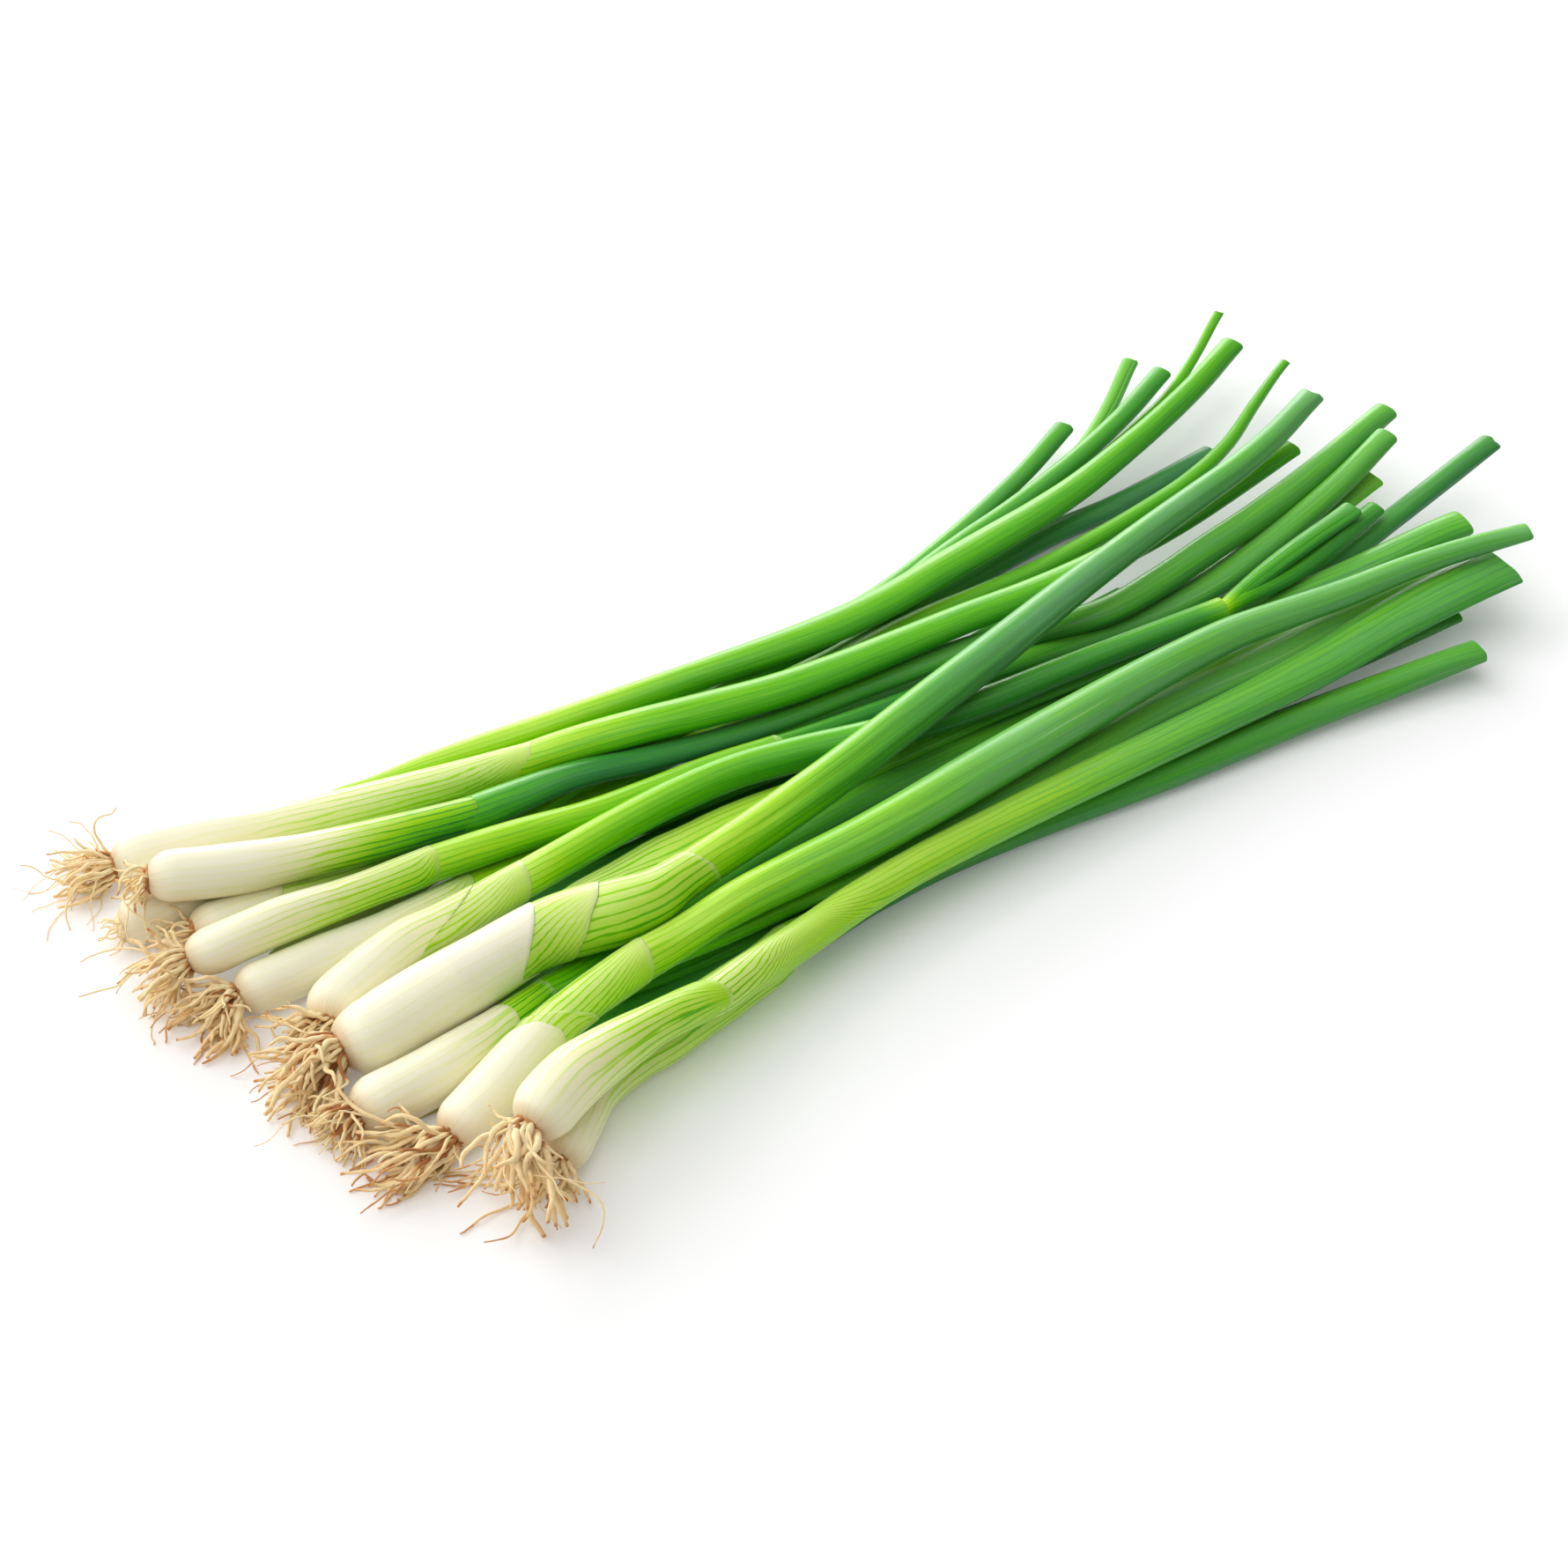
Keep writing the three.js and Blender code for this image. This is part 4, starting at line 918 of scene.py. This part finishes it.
def rootMaterial(values):
    paint = Paint("rootFibre", Subsurface_Weight=0.25, Subsurface_Radius=(1.0, 0.6, 0.35),
                  Subsurface_Scale=0.0012)
    along, shade = paint.attribute("along"), paint.attribute("tone")
    place = paint.node("ShaderNodeTexCoord", output="Object")
    grain, patch = (
        paint.node("ShaderNodeTexNoise", None, {"Vector": place, "Scale": scale, "Detail": detail})
        for scale, detail in (values["grain"], values["patch"])
    )
    at = along + (patch - 0.5) * 0.3 + shade
    base = paint.node("ShaderNodeValToRGB", {"stops": values["colours"]}, {"Fac": at.clamp()})
    base = paint.mix((grain - 0.35).clamp() * 0.6, base, values["speck"], "MULTIPLY")
    return paint.finish(Base_Color=base, Roughness=0.55 + grain * 0.25, Normal=paint.bump(grain + patch))


fibre = rootMaterial(rootValues)

# the bulbs and shanks as rows of balls, for the roots to keep clear of
balls = []
for routes in onionRoutes.values():
    for distance in np.arange(4, 60, 2.0):  # millimetres
        knot = routes["stalk"].read(np.array([distance]))[0]
        balls.append([*knot[:3], knot[3:].mean()])
ballPlaces, ballSizes = np.array(balls)[:, :3], np.array(balls)[:, 3]


def clearOfBulbs(place, room):
    away = np.array(place) - ballPlaces
    gaps = np.linalg.norm(away, axis=1) - ballSizes - room
    nearest = int(np.argmin(gaps))
    if gaps[nearest] < 0:
        out = away[nearest] / (np.linalg.norm(away[nearest]) + 1e-9)
        place = place - Vector(out) * float(gaps[nearest])
    return Vector((place.x, place.y, max(place.z, room)))


def layRoot(chance, start, way, heading, reach, thick):
    places, drift = [start], Vector((0, 0, 0))
    step = reach / rootValues["steps"]
    for index in range(rootValues["steps"]):
        push = Vector([chance.uniform(-1, 1) for _ in range(3)]) * rootValues["wander"]
        drift = drift * rootValues["ease"] + push * (1 - rootValues["ease"])
        bend = drift + heading * rootValues["pull"] - upward * rootValues["sag"]
        way = (way + bend * min(1, index / rootValues["stiff"])).normalized()
        if places[-1].z > rootValues["ceiling"]:
            way.z = min(way.z, 0)
        place = places[-1] + way * step
        if index > 1:
            place = clearOfBulbs(place, thick + rootValues["gap"])
        places.append(place)
    return places


# A sphere's rings are set out along a root's places, as in a tube.
def addRoot(whole, along, tone, places, thick, thin, shade):
    steps, sides, scale = len(places) - 1, rootValues["sides"], rootValues["knobScale"]
    made = bmesh.ops.create_uvsphere(whole, u_segments=sides, v_segments=steps, radius=1)["verts"]
    for v in made:
        row = round((1 - math.acos(max(-1, min(1, v.co.z))) / math.pi) * steps)
        around = math.atan2(v.co.y, v.co.x)
        t = row / steps
        here = places[row]
        ahead = (places[min(row + 1, steps)] - places[max(0, row - 1)]).normalized()
        side = upward.cross(ahead).normalized()
        rise = ahead.cross(side)
        if row == steps:
            here = places[row - 1] + ahead * thin * 0.6
        radius = 0 if row in (0, steps) else (thick - thin) * (1 - t) ** 0.7 + thin
        if row == 1:
            radius *= 0.7
        radius *= 1 + rootValues["knobs"] * noise.noise(Vector((here.x, here.y, 9 * shade)) * scale)
        across = side * math.cos(around) * rootValues["broad"]
        v.co = (here + (across + rise * math.sin(around) * rootValues["high"]) * radius) * mm
        v[along], v[tone] = t, shade


def makeTuft(number):
    name = f"onion_{number:02d}_roots"
    chance = random.Random(100 + number)
    route = onionRoutes[number]["stalk"]
    ahead, side, rise = (Vector(axis[0]) for axis in route.axes(np.array([1.0])))
    outward, foot = -ahead, Vector(route.knots[0][:3])
    half = float(route.read(np.array([1.4]))[0][3])
    whole = bmesh.new()
    along = whole.verts.layers.float.new("along")
    tone = whole.verts.layers.float.new("tone")
    for turn, fan, reach, count, stout, lift, brownAndShade in tuftLooks[number]:
        for index in range(count):
            # sunflower order over the plate; a root on one side of it leans to that side
            spread = math.sqrt((index + 0.5) / count)
            around = index * rootValues["goldenTurn"]
            radial = side * math.cos(around) + rise * math.sin(around)
            level = math.radians(turn)
            across = Vector((-math.sin(level), math.cos(level), 0))
            level += math.radians(fan) * (radial.dot(across) * spread * 0.8 + chance.uniform(-0.35, 0.35))
            heading = Vector((math.cos(level), math.sin(level), lift * chance.uniform(0.5, 1.2)))
            way = (outward * 0.5 + radial * 0.6 * spread + heading * 0.5).normalized()
            start = foot + radial * rootValues["spread"] * half * spread - outward * rootValues["inset"]
            long = reach * chance.uniform(0.6, 1.1)
            thick = stout * chance.uniform(0.7, 1.15)
            places = layRoot(chance, start, way, heading, long, thick)
            thin = thick * chance.uniform(*rootValues["tip"])
            # a negative value darkens the root towards dark brown: painted shade in the tuft
            addRoot(whole, along, tone, places, thick, thin, brownAndShade + chance.uniform(-0.04, 0.08))
    plate = bmesh.ops.create_icosphere(whole, subdivisions=4, radius=1)["verts"]
    for v in plate:
        lumps = rootValues["plateLumps"] * noise.noise(v.co * 3 + Vector((number, 0, 0)))
        local = v.co * (1 + lumps)
        flat = (side * local.x + rise * local.y) * rootValues["plateSize"] * half
        place = foot + outward * (local.z * rootValues["plateHigh"] * half - 0.2) + flat
        v[along] = rootValues["plateTones"].get(number, rootValues["plateTone"])
        v.co = Vector((place.x, place.y, max(place.z, 0.05))) * mm
    mesh = bpy.data.meshes.new(f"spring_{name}")
    whole.to_mesh(mesh)
    whole.free()
    mesh.shade_smooth()
    piece = bpy.data.objects.new(f"spring_{name}", mesh)
    bpy.context.collection.objects.link(piece)
    piece.data.materials.append(fibre)
    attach(piece, "root")
    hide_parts(name)


for number in tuftLooks:
    makeTuft(number)
print("roots made")

# Floor and light
studioValues = {
    "floor": (0.88, 0.88, 0.88, 1), "floorSize": 6, "glow": 0.12, "sky": 0.28,
    # name, where the light comes from, its angle in degrees, power
    "suns": [("top", (-0.3, 0.15, 0.95), 80, 1.75), ("rim", (-0.35, 0.9, 0.45), 60, 1.5),
             ("back", (0.4, 0.85, 0.22), 34, 1.4)],
}


def makeStudio(values):
    bm = bmesh.new()
    bmesh.ops.create_grid(bm, x_segments=1, y_segments=1, size=values["floorSize"])
    mesh = bpy.data.meshes.new("table_top")
    bm.to_mesh(mesh)
    bm.free()
    floor = bpy.data.objects.new("table_top", mesh)
    bpy.context.collection.objects.link(floor)
    paint = Paint("paleTable", Base_Color=values["floor"], Roughness=0.9, Specular_IOR_Level=0.1,
                  Emission_Color=(1, 1, 1, 1), Emission_Strength=values["glow"])
    mesh.materials.append(paint.material)
    world = bpy.data.worlds.new("studio")
    world.use_nodes = True
    background = world.node_tree.nodes["Background"]
    background.inputs["Color"].default_value = (1, 1, 1, 1)
    background.inputs["Strength"].default_value = values["sky"]
    bpy.context.scene.world = world
    for label, toward, angle, power in values["suns"]:
        data = bpy.data.lights.new(label, "SUN")
        data.energy, data.angle = power, math.radians(angle)
        lamp = bpy.data.objects.new(label, data)
        lamp.rotation_mode = "QUATERNION"
        lamp.rotation_quaternion = (-Vector(toward)).to_track_quat("-Z", "Y")
        bpy.context.collection.objects.link(lamp)


makeStudio(studioValues)
bpy.context.scene.view_settings.view_transform = "Standard"
print("studio lit")
